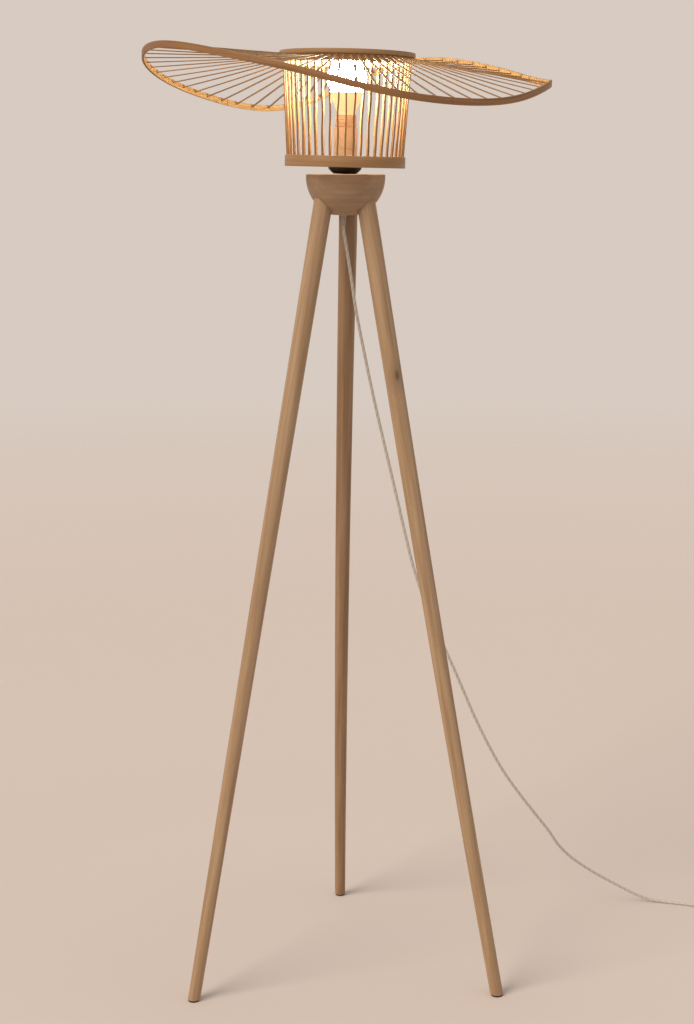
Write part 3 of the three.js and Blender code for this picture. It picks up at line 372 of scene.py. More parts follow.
def makeMesh(name, stock, place):   # from millimetres to metres
    mesh = bpy.data.meshes.new(name)
    mesh.from_pydata(stock.points, [], stock.faces)
    mesh.attributes.new("grain", "FLOAT_VECTOR", "POINT")
    mesh.attributes.new("tint", "FLOAT", "POINT")
    mesh.attributes["grain"].data.foreach_set("vector", [c * mm for p in stock.grain for c in p])
    mesh.attributes["tint"].data.foreach_set("value", stock.tint)
    mesh.transform(Matrix.Scale(mm, 4) @ place)
    return worked(mesh, faceOut)


def applied(piece, *cutters):   # the mesh that the object's modifiers make of it
    bpy.context.view_layer.update()
    mesh = bpy.data.meshes.new_from_object(piece.evaluated_get(bpy.context.evaluated_depsgraph_get()))
    for extra in (piece, *cutters):
        bpy.data.objects.remove(extra)
    return mesh


def dress(name, mesh, body, finish, crease, *nodes):
    mesh.name = name
    mesh.shade_smooth()
    mesh.set_sharp_from_angle(angle=radians(crease))
    mesh.materials.clear()
    mesh.materials.append(finishes[finish])
    piece = linked(name, mesh)
    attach(piece, body)
    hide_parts(*nodes)
    return piece


def addPiece(name, stock, place, body, finish, crease, *nodes):
    return dress(name, makeMesh(name, stock, place), body, finish, crease, *nodes)


def arcPoints(height, radius, first, last, steps):   # an arc as (radius, height) points, in degrees
    turns = [radians(first + (last - first) * k / steps) for k in range(steps + 1)]
    return [(radius * cos(t), height + radius * sin(t)) for t in turns]


def rounded(profile, radius, steps=3):   # rounds the corners of a closed profile
    done = []
    for i, corner in enumerate(profile):
        here = Vector(corner)
        back, on = Vector(profile[i - 1]) - here, Vector(profile[(i + 1) % len(profile)]) - here
        reach = min(radius, back.length * 0.45, on.length * 0.45)
        start, end = here + back.normalized() * reach, here + on.normalized() * reach
        for k in range(steps + 1):
            t = k / steps
            done.append(tuple(start * (1 - t) ** 2 + here * 2 * t * (1 - t) + end * t ** 2))
    return done


def smoothLine(points, perSpan):   # smooth line through all the points
    points = [Vector(p) for p in points]
    padded = [points[0] * 2 - points[1], *points, points[-1] * 2 - points[-2]]
    line = []
    for i in range(1, len(padded) - 2):
        p0, p1, p2, p3 = padded[i - 1:i + 3]
        a, b, c = (p1 - p0).length ** 0.5, (p2 - p1).length ** 0.5, (p3 - p2).length ** 0.5
        out = ((p1 - p0) / a - (p2 - p0) / (a + b) + (p2 - p1) / b) * b
        into = ((p2 - p1) / b - (p3 - p1) / (b + c) + (p3 - p2) / c) * b
        for k in range(perSpan):
            t = k / perSpan
            line.append(p1 * (2 * t ** 3 - 3 * t ** 2 + 1) + out * (t ** 3 - 2 * t ** 2 + t)
                        + p2 * (3 * t ** 2 - 2 * t ** 3) + into * (t ** 3 - t ** 2))
    return [*line, points[-1]]


def stations(line):   # each point with the line's direction there and its distance along the line
    along = 0.0
    for i, point in enumerate(line):
        ahead = (line[min(i + 1, len(line) - 1)] - line[max(i - 1, 0)]).normalized()
        along += (point - line[i - 1]).length if i else 0
        yield point, ahead, along


def evenly(line, spacing):   # the same line with its points a set distance apart
    lengths = [along for _, _, along in stations(line)]
    count = round(lengths[-1] / spacing)
    spaced, i = [], 0
    for k in range(count + 1):
        want = lengths[-1] * k / count
        while i < len(line) - 2 and lengths[i + 1] < want:
            i += 1
        spaced.append(line[i].lerp(line[i + 1], (want - lengths[i]) / (lengths[i + 1] - lengths[i])))
    return spaced


def lineLength(line):
    return sum((b - a).length for a, b in zip(line, line[1:]))


def tubeStock(line, radius, sides=12):
    loops, marks = [], []
    side = (line[1] - line[0]).orthogonal()
    for point, ahead, along in stations(line):
        side = (side - ahead * side.dot(ahead)).normalized()
        other = ahead.cross(side)
        around = circle(sides, along, radius)
        loops.append([point + side * x + other * y for x, y, _ in around])
        marks.append(around)
    return Stock().loft(loops, marks)


def grainStart():   # where a piece's grain starts in the wood
    return Vector((chance.uniform(0, 3), chance.uniform(0, 3), chance.uniform(0, 3))) / mm


# Heights of the stack on the leaning rod, over the hub's top

gap = 0.3   # between pieces that meet
lean = radians(1.2)
hubLow, hubTall, recessDeep = 1235.8, 61.7, 13
hubTop = hubLow + hubTall
headPlace = Matrix.Translation((0, 0, hubTop)) @ Matrix.Rotation(lean, 4, "Y")

rodHole, rodInCap, rodBelowNut = 5.3, 9, 2.5
washerWide, washerThick, nutTall = 10.5, 1.5, 6
flangeTall, bushTail, bushStem = 2.5, 16, 8
cupFoot, cupTall, spiderThick, fibreThick, capTall = 17.5, 13, 2, 0.8, 20
blockSeat, blockTall, lipTall, tongueTall, terminalTall = 1.5, 12, 1.6, 2, 3

cupLow = gap + cupFoot * sin(lean)
fibreLow = cupLow + cupTall + gap + spiderThick + gap
capLow = fibreLow + fibreThick + gap
bodyLow = capLow + capTall + gap
rodTop = capLow + rodInCap
washerLow = recessDeep - hubTall - gap - washerWide * sin(lean) - washerThick
nutLow = washerLow - gap - nutTall
rodBottom = nutLow - rodBelowNut
bushHigh = rodBottom - gap
flangeLow = bushHigh - flangeTall
bushTip = flangeLow - bushTail
blockLow = bodyLow + blockSeat
bulbLow = blockLow + blockTall + lipTall + gap + tongueTall + gap


# Cords

cordSpec = dict(radius=2.5, straight=6, spacing=4)
runRoute = [
    (1.5, 2, 1194), (9, 5, 1148), (18, 10, 1088), (32, 17.5, 1017), (47.5, 25.5, 944), (64.5, 34.5, 871),
    (82.5, 45, 795), (98, 54, 728), (114.5, 63, 662), (136, 73.5, 597), (164, 87, 530), (194, 101, 460),
    (220.5, 116, 396), (248, 130.5, 337), (277, 144.5, 283), (307.5, 158, 237), (336, 171, 197),
    (361.5, 185, 161), (381.5, 198.5, 129), (405, 211.5, 102), (445.5, 227, 69), (490.5, 240.5, 39),
    (531, 248, 15.5), (553, 250, 6.4), (576, 247, 3.2), (604, 239.6, 2.6), (634, 230, 2.6),
    (664, 217.5, 2.7), (692, 200, 3.5), (711, 179, 6), (720, 163, 8.4),
]
switchSpec = dict(x=722, y=95, length=60, relief=22, cordHeight=9.4)
coilSpec = dict(x=691, y=-16, low=2.6, outer=31, turns=3.5, pitch=5.6, layer=5.6, climb=0.5, perTurn=40)
leadShares = [(0, 0), (0.1, 0), (0.3, 0.28), (0.5, 0.68), (0.7, 0.95), (0.88, 1), (1, 1)]
easeShares = [(0, 0), (0.2, 0), (0.5, 0.5), (0.8, 1), (1, 1)]   # how far on, how far over
plugSpec = dict(x=660, tip=19, height=6.9, relief=24)


def coilPoint(turn):
    spec = coilSpec
    middle = spec["turns"] / 2
    radius = spec["outer"] - spec["pitch"] * (middle - abs(turn - middle))
    share = min(1, max(0, (turn - middle + spec["climb"] / 2) / spec["climb"]))
    share = share * share * (3 - 2 * share)
    angle = -turn * fullTurn
    return Vector((spec["x"] + radius * cos(angle), spec["y"] + radius * sin(angle),
                   spec["low"] + spec["layer"] * share))


def switchEnd(side, more=0):   # the outer end of a strain relief of the switch
    reach = switchSpec["length"] / 2 + switchSpec["relief"] + more
    return Vector((switchSpec["x"], switchSpec["y"] + side * reach, switchSpec["cordHeight"]))


def easedLine(start, end, shares):   # on along Y, and over in X and in height
    return smoothLine([(start.x + (end.x - start.x) * over, start.y + (end.y - start.y) * on,
                        start.z + (end.z - start.z) * over) for on, over in shares], 12)


def makeCords(radius, straight, spacing):
    start, inEnd, outEnd = bushTip - gap, switchEnd(1, gap), switchEnd(-1, gap)
    run = [headPlace @ Vector((0, 0, start)), headPlace @ Vector((0, 0, start - straight)),
           *runRoute, inEnd + Vector((0, straight, 0)), inEnd]
    runLine = evenly(smoothLine(run, 24), spacing)
    turns, perTurn = coilSpec["turns"], coilSpec["perTurn"]
    lead = easedLine(outEnd, coilPoint(0), leadShares)
    coil = [coilPoint(k / perTurn) for k in range(1, int(turns * perTurn))]
    plugEnd = Vector((plugSpec["x"], plugSpec["tip"] - gap, plugSpec["height"]))
    tail = easedLine(coilPoint(turns), plugEnd, easeShares)
    cords = {}
    for name, line, nodes in (("cordToSwitch", runLine, ["cord_run"]),
                              ("cordToPlug", [*lead, *coil, *tail], ["cord_lead", "cord_coil", "cord_tail"])):
        piece = addPiece(name, tubeStock(line, radius), Matrix(), "stand", "sheath", 60, *nodes)
        cords[name] = piece, line, round(lineLength(line) * mm, 3)
    return cords


cords = makeCords(**cordSpec)
print("cords lie in place:", {name: length for name, (_, _, length) in cords.items()})


# Legs, their pads and bolts

legSpec = dict(hubRadius=41.6, top=29.4, socket=32, edge=1.2, bolt=4, boltIn=34, pad=2, padInset=0.8,
               footEdge=[(1.4, 0), (0.7, 0.15), (0.2, 0.6), (0, 1.4)], start=0.009, steps=64, sides=48)
legs = {
    "back": dict(finish="backLeg", foot=91.2, hub=82.4, reach=283.56, diameter=18.36, bend=-2.992),
    "left": dict(finish="leg", foot=211.1, hub=209.9, reach=278.556, diameter=19.38, bend=0),
    "right": dict(finish="leg", foot=333.6, hub=329.6, reach=276.332, diameter=20.4, bend=-3.4),
}


def polar(angle, radius, height):
    turn = radians(angle)
    return Vector((radius * cos(turn), radius * sin(turn), height))


def legAxis(one):
    foot = polar(one["foot"], one["reach"], 0)
    entry = polar(one["hub"], legSpec["hubRadius"], hubLow)
    top = foot.lerp(entry, 1 + legSpec["socket"] / hubLow)
    along = (top - foot).normalized()
    across = polar(one["foot"] + 90, 1, 0).cross(along).normalized()
    return foot, along, across, along.cross(across), (top - foot).length


def makeLeg(name, one):
    spec = legSpec
    foot, along, across, side, length = legAxis(one)
    straight = 1 - 2 * spec["socket"] / length
    offset, wide, axes = grainStart(), one["diameter"], (across, side, along)
    loops, marks = [], []

    def section(share, radius=None, floor=None):
        if radius is None:
            radius = (wide + (spec["top"] - wide) * share) / 2
        centre = foot + along * (share * length)
        centre.x += max(0, share * (straight - share)) * 4 * one["bend"]
        loop = [centre + across * x + side * y for x, y, _ in circle(spec["sides"], 0, radius)]
        if floor is not None:
            loop = [p + along * ((floor - p.z) / along.z) for p in loop]
        loops.append(loop)
        marks.append([offset + Vector([(p - foot).dot(axis) for axis in axes]) for p in loop])

    for inset, rise in spec["footEdge"]:   # rounded edge over the pad
        section(0, wide / 2 - inset, spec["pad"] + gap + rise)
    start, edge, topRadius = spec["start"], spec["edge"], spec["top"] / 2
    for k in range(1, spec["steps"] + 1):
        section(start + (1 - start - edge / length) * k / spec["steps"])
    section(1 - edge / 4 / length, topRadius - edge / 3)
    section(1, topRadius - edge)
    for reach, down in ((0.6, 0), (0.3, 0.4), (0.3, spec["boltIn"] + 0.3)):   # the bolt's hole
        section(1 - down / length, spec["bolt"] + reach)
    stock = Stock().loft(loops, marks, chance.random())
    addPiece("leg." + name, stock, Matrix(), "stand", one["finish"], 40, "leg_" + name)

    pad, thick = wide / 2 - spec["padInset"], spec["pad"]
    outline = [(pad - 0.5, 0), (pad - 0.1, 0.2), (pad, 0.6), (pad, thick - 0.3), (pad - 0.3, thick)]
    addPiece("pad." + name, Stock().turn(outline, 40), Matrix.Translation(foot), "stand", "rubber", 35,
             "foot_pad_" + name)


for name, one in legs.items():
    makeLeg(name, one)
print("legs stand")


# Hub: a turned half ball with the legs' sockets cut into it

hubSpec = dict(radius=61, flat=21, recess=14, rim=1.1, arcTrims=(1.2, 1.6), offAxis=1.3, boltHole=12.6,
               steps=144, arcSteps=34, grainTurns=(90, 8), grainShift=(0.31, 0.12, 0.4))


def makeHub(radius, flat, recess, rim, arcTrims, offAxis, boltHole, steps, arcSteps, grainTurns, grainShift):
    drop = (hubTall ** 2 + flat ** 2 - radius ** 2) / (2 * hubTall)
    ball = hypot(radius, drop)
    first = degrees(asin(drop / ball)) - arcTrims[0]
    last = arcTrims[1] - degrees(asin((hubTall - drop) / ball))
    outline = [(radius - 2 * rim, hubTop), (radius - 0.9 * rim, hubTop - 0.1 * rim),
               (radius - 0.25 * rim, hubTop - 0.45 * rim),
               *arcPoints(hubTop - drop, ball, first, last, arcSteps),
               (flat - 0.8, hubLow + 0.1), (flat - 2, hubLow)]
    bore, deep = rodHole + hubTall * sin(lean), hubLow + recessDeep
    inside = [(bore, hubTop + 1), (bore, deep), (recess, deep), (recess, hubLow + 0.7),
              (recess + 0.1, hubLow + 0.2), (recess + 0.6, hubLow), (recess + 0.6, hubLow - 1)]

    def solid(name, profile, turns, place=Matrix()):
        return linked(name, makeMesh(name, Stock().turn(profile, turns), place))

    block = solid("hubBlock", outline, steps, Matrix.Translation((offAxis, 0, 0)))
    cutters = [solid("cutter", inside, 96)]
    for one in legs.values():
        foot, along, across, side, length = legAxis(one)
        wide, hole, end = legSpec["top"] / 2 + gap, legSpec["bolt"] + gap, length + gap
        socket = [(wide, end - 2 * legSpec["socket"]), (wide, end), (hole, end), (hole, length + boltHole)]
        cutters.append(solid("cutter", socket, 64, stood(foot, across, side, along)))
    for cutter in cutters:
        step = block.modifiers.new("socket", "BOOLEAN")
        step.operation, step.solver, step.object = "DIFFERENCE", "EXACT", cutter
    mesh = worked(applied(block, *cutters), weld, faceOut)
    turnY, turnX = (radians(turn) for turn in grainTurns)
    turned = Matrix.Rotation(turnY, 3, "Y") @ Matrix.Rotation(turnX, 3, "X")
    marks = [turned @ v.co + Vector(grainShift) for v in mesh.vertices]
    mesh.attributes["grain"].data.foreach_set("vector", [c for p in marks for c in p])
    dress("hub.block", mesh, "stand", "hub", 30, "hub")


makeHub(**hubSpec)
print("hub is turned")


# Rod with its nut, washer and bush, seat cup and lampholder

rodSpec = dict(radius=5, wall=1.3, pitch=1, depth=0.55, sides=36, perTurn=6)
nutSpec = dict(hole=5.05, across=8.5, edge=8.6, corner=9.9, chamfer=0.7, steps=72)
bushSpec = dict(bore=2.6, tip=3.1, tail=4, flange=6.5, stem=3.4)
cupSpec = dict(rim=26, wall=1.2, flare=[(0, 0), (0.18, 0.32), (0.38, 0.66), (0.58, 0.92), (1, 1)])
fibreWide = 15
holderSpec = dict(wide=18.3, upper=17, tall=51.5, step=32, bore=14.4, capWall=1.8, capFloor=2.6, chamfer=2.2,
                  ribs=45, ribDeep=0.22, plainBand=4, seam=1.6, rings=4, ringStart=2.5, ringPitch=3,
                  ringDeep=0.7, ringShape=[(0, 0), (1, 0.8), (1, 1.4), (0, 2.2)])
wireSpec = dict(radius=1, spread=1.5, reach=9)


def turnedPiece(name, profile, body, finish, node, steps=64, ring=True, soften=0.25, place=headPlace,
                crease=35):
    outline = rounded(profile, soften) if soften else profile
    addPiece(name, Stock().turn(outline, steps, ring), place, body, finish, crease, node)


def makeRod(radius, wall, pitch, depth, sides, perTurn):
    rows = round((rodTop - rodBottom) / pitch * perTurn)
    loops = [circle(sides, rodBottom, radius - wall)]
    for i in range(rows + 1):
        z, fade = rodBottom + (rodTop - rodBottom) * i / rows, min(1, i / 3, (rows - i) / 3)
        loops.append(circle(sides, z, lambda j: radius - depth * (
            abs(2 * ((z / pitch - j / sides) % 1) - 1) * fade + (1 - fade))))
    loops.append(circle(sides, rodTop, radius - wall))
    addPiece("rod.threaded", Stock().loft(loops, ring=True), headPlace, "stand", "zinc", 30, "threaded_rod")


def makeNut(hole, across, edge, corner, chamfer, steps):
    low, high, sixth = nutLow, nutLow + nutTall, pi / 3
    loops = [circle(steps, low, hole)]
    for limit, z in ((edge, low), (corner, low + chamfer), (corner, high - chamfer), (edge, high)):
        loops.append(circle(steps, z, lambda j: min(limit, across / cos(
            (fullTurn * j / steps + sixth / 2) % sixth - sixth / 2))))
    loops.append(circle(steps, high, hole))
    addPiece("rod.nut", Stock().loft(loops, ring=True), headPlace, "stand", "zinc", 25, "rod_nut")


def makeWasher(name, node, finish, low, thick, radius, soften):
    profile = [(rodHole, low), (radius, low), (radius, low + thick), (rodHole, low + thick)]
    turnedPiece(name, profile, "stand", finish, node, soften=soften)


def makeBush(bore, tip, tail, flange, stem):
    profile = [(bore, bushTip), (tip, bushTip), (tip + 0.2, bushTip + 3), (tail, flangeLow - 1.2),
               (tail + 0.6, flangeLow), (flange, flangeLow), (flange, bushHigh), (stem, bushHigh),
               (stem, bushHigh + bushStem), (bore, bushHigh + bushStem)]
    turnedPiece("cord.bush", profile, "stand", "bush", "cord_bush", 48, soften=0.4)


def makeCup(rim, wall, flare):
    top, grow = cupLow + cupTall, rim - cupFoot
    outside = smoothLine([(cupFoot + out * grow, cupLow + up * cupTall) for up, out in flare], 8)
    inside = [(x - wall, z + wall * 0.4) for x, z in outside[:-4]][::-1]
    profile = [(rodHole, cupLow), (cupFoot - 0.6, cupLow), *outside[1:-1], (rim, top - 0.4),
               (rim - 0.35, top - 0.05), (rim - 0.8, top - 0.05), (rim - wall, top - 0.5), *inside,
               (cupFoot - 2, cupLow + wall), (rodHole, cupLow + wall)]
    turnedPiece("seat.cup", profile, "stand", "black", "seat_cup", 96, soften=0, crease=40)


def makeHolder(wide, upper, tall, step, bore, capWall, capFloor, chamfer, ribs, ribDeep, plainBand, seam,
               rings, ringStart, ringPitch, ringDeep, ringShape):
    low, high, inner = capLow, capLow + capTall, wide - capWall
    profile = rounded([(rodHole, low), (wide - chamfer, low), (wide, low + chamfer), (wide, low + plainBand),
                       (wide, high - plainBand), (wide, high), (inner, high), (inner, low + capFloor),
                       (rodHole, low + capFloor)], 0.5)
    loops, band = [], plainBand - 0.6
    for r, z in profile:   # fine grip ribs round the cap
        deep = ribDeep if low + band < z < high - band and r > inner + 0.5 else 0
        loops.append(circle(4 * ribs, z, lambda j: r - deep * (j % 4 == 0)))
    addPiece("holder.cap", Stock().loft(loops, ring=True), headPlace, "stand", "creamPaintedWarmLight", 40, "lampholder_cap")

    low, step, high, root = bodyLow, bodyLow + step, bodyLow + tall, upper - ringDeep
    groove = step + seam   # a seam between the lower and the upper part
    profile = [(bore, low), (wide, low), (wide, step), (upper - seam, step), (upper - seam, groove)]
    for k in range(rings):   # ring thread on the upper part
        z = step + ringStart + ringPitch * k
        profile += [(root + ringDeep * out, z + up) for out, up in ringShape]
    profile += [(root, high), (bore, high)]
    turnedPiece("holder.body", profile, "stand", "creamPaintedWarmLight", "lampholder_body", 96, soften=0.35)


def makeWires(radius, spread, reach):
    sheathLow, sheathHigh = bushHigh + bushStem + gap, rodTop + gap
    line = [Vector((0, 0, sheathLow + (sheathHigh - sheathLow) * k / 12)) for k in range(13)]
    addPiece("cord.inRod", tubeStock(line, cordSpec["radius"]), headPlace, "stand", "sheath", 35,
             "cord_in_rod")
    low, high = sheathHigh + gap, blockLow - 2 * gap - terminalTall
    for side, finish, name in ((1, "brownCore", "line"), (-1, "blueCore", "neutral")):
        line = smoothLine([(side * (spread + out * (reach - spread)), 0, low + up * (high - low))
                           for up, out in easeShares], 8)
        addPiece("core." + name, tubeStock(line, radius), headPlace, "stand", finish, 60, "core_" + name)


makeRod(**rodSpec)
makeNut(**nutSpec)
makeWasher("rod.washer", "rod_washer", "zinc", washerLow, washerThick, washerWide, 0.25)
makeBush(**bushSpec)
makeCup(**cupSpec)
makeWasher("fibre.washer", "fibre_washer", "fibre", fibreLow, fibreThick, fibreWide, 0.15)
makeHolder(**holderSpec)
makeWires(**wireSpec)
print("rod, cup and lampholder are stacked")


# Bulb

bulbSpec = dict(tipTall=1.8, coneTall=4, screw=13, screwTall=21, thread=0.8, pitch=3.6, sides=64, rows=56,
                neck=13.9, neckTall=10, baseTall=40, baseTop=26.5, globe=30, length=118, domeSteps=30)


def makeBulb(tipTall, coneTall, screw, screwTall, thread, pitch, sides, rows, neck, neckTall, baseTall,
             baseTop, globe, length, domeSteps):
    screwLow, loops = bulbLow + tipTall + gap + coneTall + gap, []
    for i in range(rows + 1):   # rolled screw thread
        z, fade = screwLow + screwTall * i / rows, min(1, i / 6, max(0, (rows - 6 - i) / 5))
        edge = screw if i else screw - 1.2
        loops.append(circle(sides, z, lambda j: edge - thread * fade * (
            0.5 - 0.5 * sin((z / pitch - j / sides) * fullTurn))))
    addPiece("bulb.cap", Stock().loft(loops), headPlace, "bulb", "bulbMetal", 50, "bulb_cap")

    low = screwLow + screwTall + gap
    neckTop, high = low + neckTall, low + baseTall
    flare = smoothLine([(neck, low + 0.8), (neck, neckTop - 2), (neck + 1.8, neckTop + 4),
                        (baseTop - 3.4, high - 8), (baseTop - 0.3, high - 0.6)], 8)
    profile = [(neck - 0.8, low), *flare, (baseTop - 1, high)]
    turnedPiece("bulb.base", profile, "bulb", "basePaintedGlow", "bulb_base", 80, ring=False, soften=0)

    first = -degrees(acos(baseTop / globe))
    dome = arcPoints(bulbLow + length - globe, globe, first, 88.5, domeSteps)
    turnedPiece("bulb.globe", [(baseTop - 0.6, high + gap), *dome], "bulb", "opal", "bulb_globe", 80,
                ring=False, soften=0, crease=50)


makeBulb(**bulbSpec)
print("bulb is lit")


# Shade

drumSpec = dict(count=48, low=10.6, high=182.3, hoop=17, bottom=89.6, top=97.4, width=2.6, thick=1.5,
                inset=1, outer=2, inner=2.2, sway=0.8, vary=(0.92, 1.06), steps=24)
brimSpec = dict(count=64, radius=311.2, lath=10, outer=2.2, inner=2, width=3, thick=1.6, root=173.7,
                tie=101.41, tieHeights=(180.8, 178.3, 176.3), tucks=(2.2, 0.8), collarIn=102.16,
                collar=1.5, collarTall=7, sway=1.1, sag=0.8, vary=(0.9, 1.08), steps=18)
brimMiddle, brimRise = 144.3, 34.1
brimWaves = [(1, 0.267, 120.8), (2, 1, 37.2), (3, 0.273, -50.4), (4, 0.235, -21.1), (5, 0.114, -5.3),
             (6, 0.035, 16.1), (7, 0.023, -19.6), (8, 0.023, -11.2)]   # crests in a turn, share, angle


def brimHeight(angle):
    waves = sum(share * cos(crests * (angle - radians(at))) for crests, share, at in brimWaves)
    return brimMiddle + waves * brimRise


def roundedSection(wide, tall, corner, steps=2):   # (across, up) points of a bar's section
    points = []
    for k, (sx, sy) in enumerate(((1, -1), (1, 1), (-1, 1), (-1, -1))):
        for s in range(steps + 1):
            turn = radians(-90 + 90 * k + 90 * s / steps)
            points.append((sx * (wide / 2 - corner) + corner * cos(turn),
                           sy * (tall / 2 - corner) + corner * sin(turn)))
    return points


def makeLath(name, node, finish, inside, thick, tall, seam, heightOf, steps=208, wander=0.12):
    section, middle = roundedSection(thick, tall, 0.6), inside + thick / 2
    offset, phases = grainStart(), [chance.uniform(0, fullTurn) for _ in range(3)]
    loops, marks = [], []
    cutShare = 0.35 / middle   # half of the narrow cut at the seam
    for i in range(steps + 1):
        angle = radians(seam) + cutShare + (fullTurn - 2 * cutShare) * i / steps
        bow = sum(sin((5 + 4 * k) * angle + phase) for k, phase in enumerate(phases)) / 3 * wander
        loops.append([((middle + across + bow) * cos(angle), (middle + across + bow) * sin(angle),
                       heightOf(angle) + up) for across, up in section])
        marks.append([offset + Vector((across, up, angle * middle)) for across, up in section])
    addPiece(name, Stock().loft(loops, marks, chance.random()), headPlace, "shade", finish, 50, node)


def spoke(angle):   # the directions outward and sideways at a strip
    outward = Vector((cos(angle), sin(angle), 0))
    return outward, Vector((-outward.y, outward.x, 0))


def stripBar(stock, line, side, wide, thick, tint):   # the line gives points, each with its share of thick
    offset = grainStart()
    loops, marks = [], []
    for (point, ahead, along), (_, share) in zip(stations([point for point, _ in line]), line):
        normal = side.cross(ahead).normalized()
        section = roundedSection(wide, thick * share, 0.34 * share)
        loops.append([point + side * across + normal * up for across, up in section])
        marks.append([offset + Vector((across, up, along)) for across, up in section])
    stock.loft(loops, marks, tint)


def makeDrum(count, low, high, hoop, bottom, top, width, thick, inset, outer, inner, sway, vary, steps):
    stock = Stock()
    start, end, waist, shoulder = low + inset, high - inset, low + hoop, high - hoop
    for i in range(count):
        outward, side = spoke(i / count * fullTurn)
        phase, swing, lift = chance.uniform(0, fullTurn), chance.uniform(-1, 1), chance.uniform(0.6, 1.4)
        line = []
        for k in range(steps + 1):
            z = start + (end - start) * k / steps
            share = min(1, max(0, (z - waist) / (shoulder - waist)))
            radius, free = bottom + (top - bottom) * share, sin(pi * share)
            swerve = free * sway * (swing + sin(3.1 * lift * share * pi + phase))
            line.append((outward * radius + side * swerve + Vector((0, 0, z)), 1))
        stripBar(stock, line, side, width * chance.uniform(*vary), thick, chance.random())
    addPiece("drum.strips", stock, headPlace, "shade", "strip", 50, "drum_strips")
    half = thick / 2 + gap
    for end, radius, middle, seams in (("Bottom", bottom, low + hoop / 2, (100, 240)),
                                       ("Top", top, high - hoop / 2, (80, 200))):
        for lath, inside, wall, seam in (("Outer", radius + half, outer, seams[0]),
                                         ("Inner", radius - half - inner, inner, seams[1])):
            makeLath(f"drum.hoop{end}{lath}", f"{end}_hoop_{lath}".lower(), "hoop", inside, wall, hoop, seam,
                     lambda angle: middle)


def makeBrim(count, radius, lath, outer, inner, width, thick, root, tie, tieHeights, tucks, collarIn,
             collar, collarTall, sway, sag, vary, steps):
    stock, up = Stock(), Vector((0, 0, 1))
    outside, inside = radius - outer, radius - outer - gap - inner
    start, end = collarIn + tucks[0], inside + tucks[1]
    for i in range(count):
        angle = (i + 0.5) / count * fullTurn
        outward, side = spoke(angle)
        phase, swing = chance.uniform(0, fullTurn), chance.uniform(-1, 1)
        line = [(outward * (tie - 0.05) + up * height, 0.5) for height in tieHeights]
        line.append((outward * (tie + 0.1) + up * (root + 1), 0.55))
        for k in range(steps + 1):
            share = k / steps
            reach, free = start + (end - start) * share, sin(pi * share)
            height = root + (brimHeight(angle) - root) * (reach - tie) / (end - tie)
            height -= free * sag * (0.5 + 0.5 * sin(phase))
            swerve = free * sway * (0.7 * swing + 0.5 * sin(2.3 * pi * share + phase))
            line.append((outward * reach + side * swerve + up * height, 1 if k else 0.8))
        stripBar(stock, line, side, width * chance.uniform(*vary), thick, chance.random())
    addPiece("brim.strips", stock, headPlace, "shade", "strip", 50, "brim_strips")
    collarMiddle = drumSpec["high"] - collarTall / 2
    makeLath("brim.collar", "brim_collar", "hoop", collarIn, collar, collarTall, 60,
             lambda angle: collarMiddle)
    makeLath("brim.lathOuter", "brim_lath_outer", "lath", outside, outer, lath, 75, brimHeight, 360, 0)
    makeLath("brim.lathInner", "brim_lath_inner", "paintedLitLath", inside, inner, lath, 130, brimHeight, 360, 0)


makeDrum(**drumSpec)
makeBrim(**brimSpec)
print("shade is woven")


# Pieces that keep the solid's form, with rounded edges

softEdges = [("spider.plate", "shade_spider", "shade", "black", 0.35),
             *((f"spider.screw{k}", f"spider_screw_{k}", "shade", "zinc", 0.3) for k in (1, 2, 3)),
             ("switch.base", "switch_base", "stand", "white", 0.8),
             ("switch.cover", "switch_cover", "stand", "white", 0.7),
             ("switch.rocker", "switch_rocker", "rocker", "white", 0.5)]
for name, node, body, finish, width in softEdges:
    draft = linked("draft", worked(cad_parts[node].data.copy(), weld, joinFlats))
    step = draft.modifiers.new("edges", "BEVEL")
    step.width, step.segments, step.limit_method = width * mm, 3, "ANGLE"
    step.angle_limit, step.use_clamp_overlap = radians(32), True
    dress(name, applied(draft), body, finish, 35, node)


# Strain reliefs and the plug

reliefSpec = dict(bore=2.55, tip=3.2, switchRoot=5.5, plugRoot=4.6)
plugBodySpec = dict(sides=64, sections=[   # along the plug, width, height and squareness of its section
    (24.3, 13.6, 10.4, 2.6), (24.9, 14.8, 11.2, 2.6), (28, 15.6, 11.4, 2.7), (32, 18.6, 11.8, 2.9),
    (36, 23.6, 12.5, 3.1), (39.5, 29, 13.1, 3.4), (43, 33.4, 13.5, 3.8), (46.5, 34.8, 13.6, 4.2),
    (52, 35, 13.6, 4.4), (56.8, 35, 13.6, 4.4), (57.8, 34.5, 13.1, 4.4), (58.3, 33.4, 12, 4.4)])
pinSpec = dict(radius=2, root=54.6, tip=77.3, aside=9.3)
alongY, backward = (Matrix.Rotation(radians(turn), 4, "X") for turn in (-90, 90))
plugPlace = Matrix.Translation((plugSpec["x"], plugSpec["tip"], plugSpec["height"]))


def makeRelief(name, node, place, root, length, ribs):
    bore, tip = reliefSpec["bore"], reliefSpec["tip"]
    profile = [(bore, 0), (tip - 0.3, 0), (tip, 0.5)]
    pitch = length / (ribs + 0.6)
    for k in range(ribs):
        share = (k + 0.6) / (ribs + 0.6)
        radius, at = tip + (root - tip) * share, length * share
        profile += [(radius, at), (radius - 0.55, at + pitch * 0.12), (radius - 0.5, at + pitch * 0.4),
                    (radius + 0.05, at + pitch * 0.52)]
    profile += [(root, length), (bore, length)]
    turnedPiece(name, profile, "stand", "white", node, 48, soften=0.18, place=place)


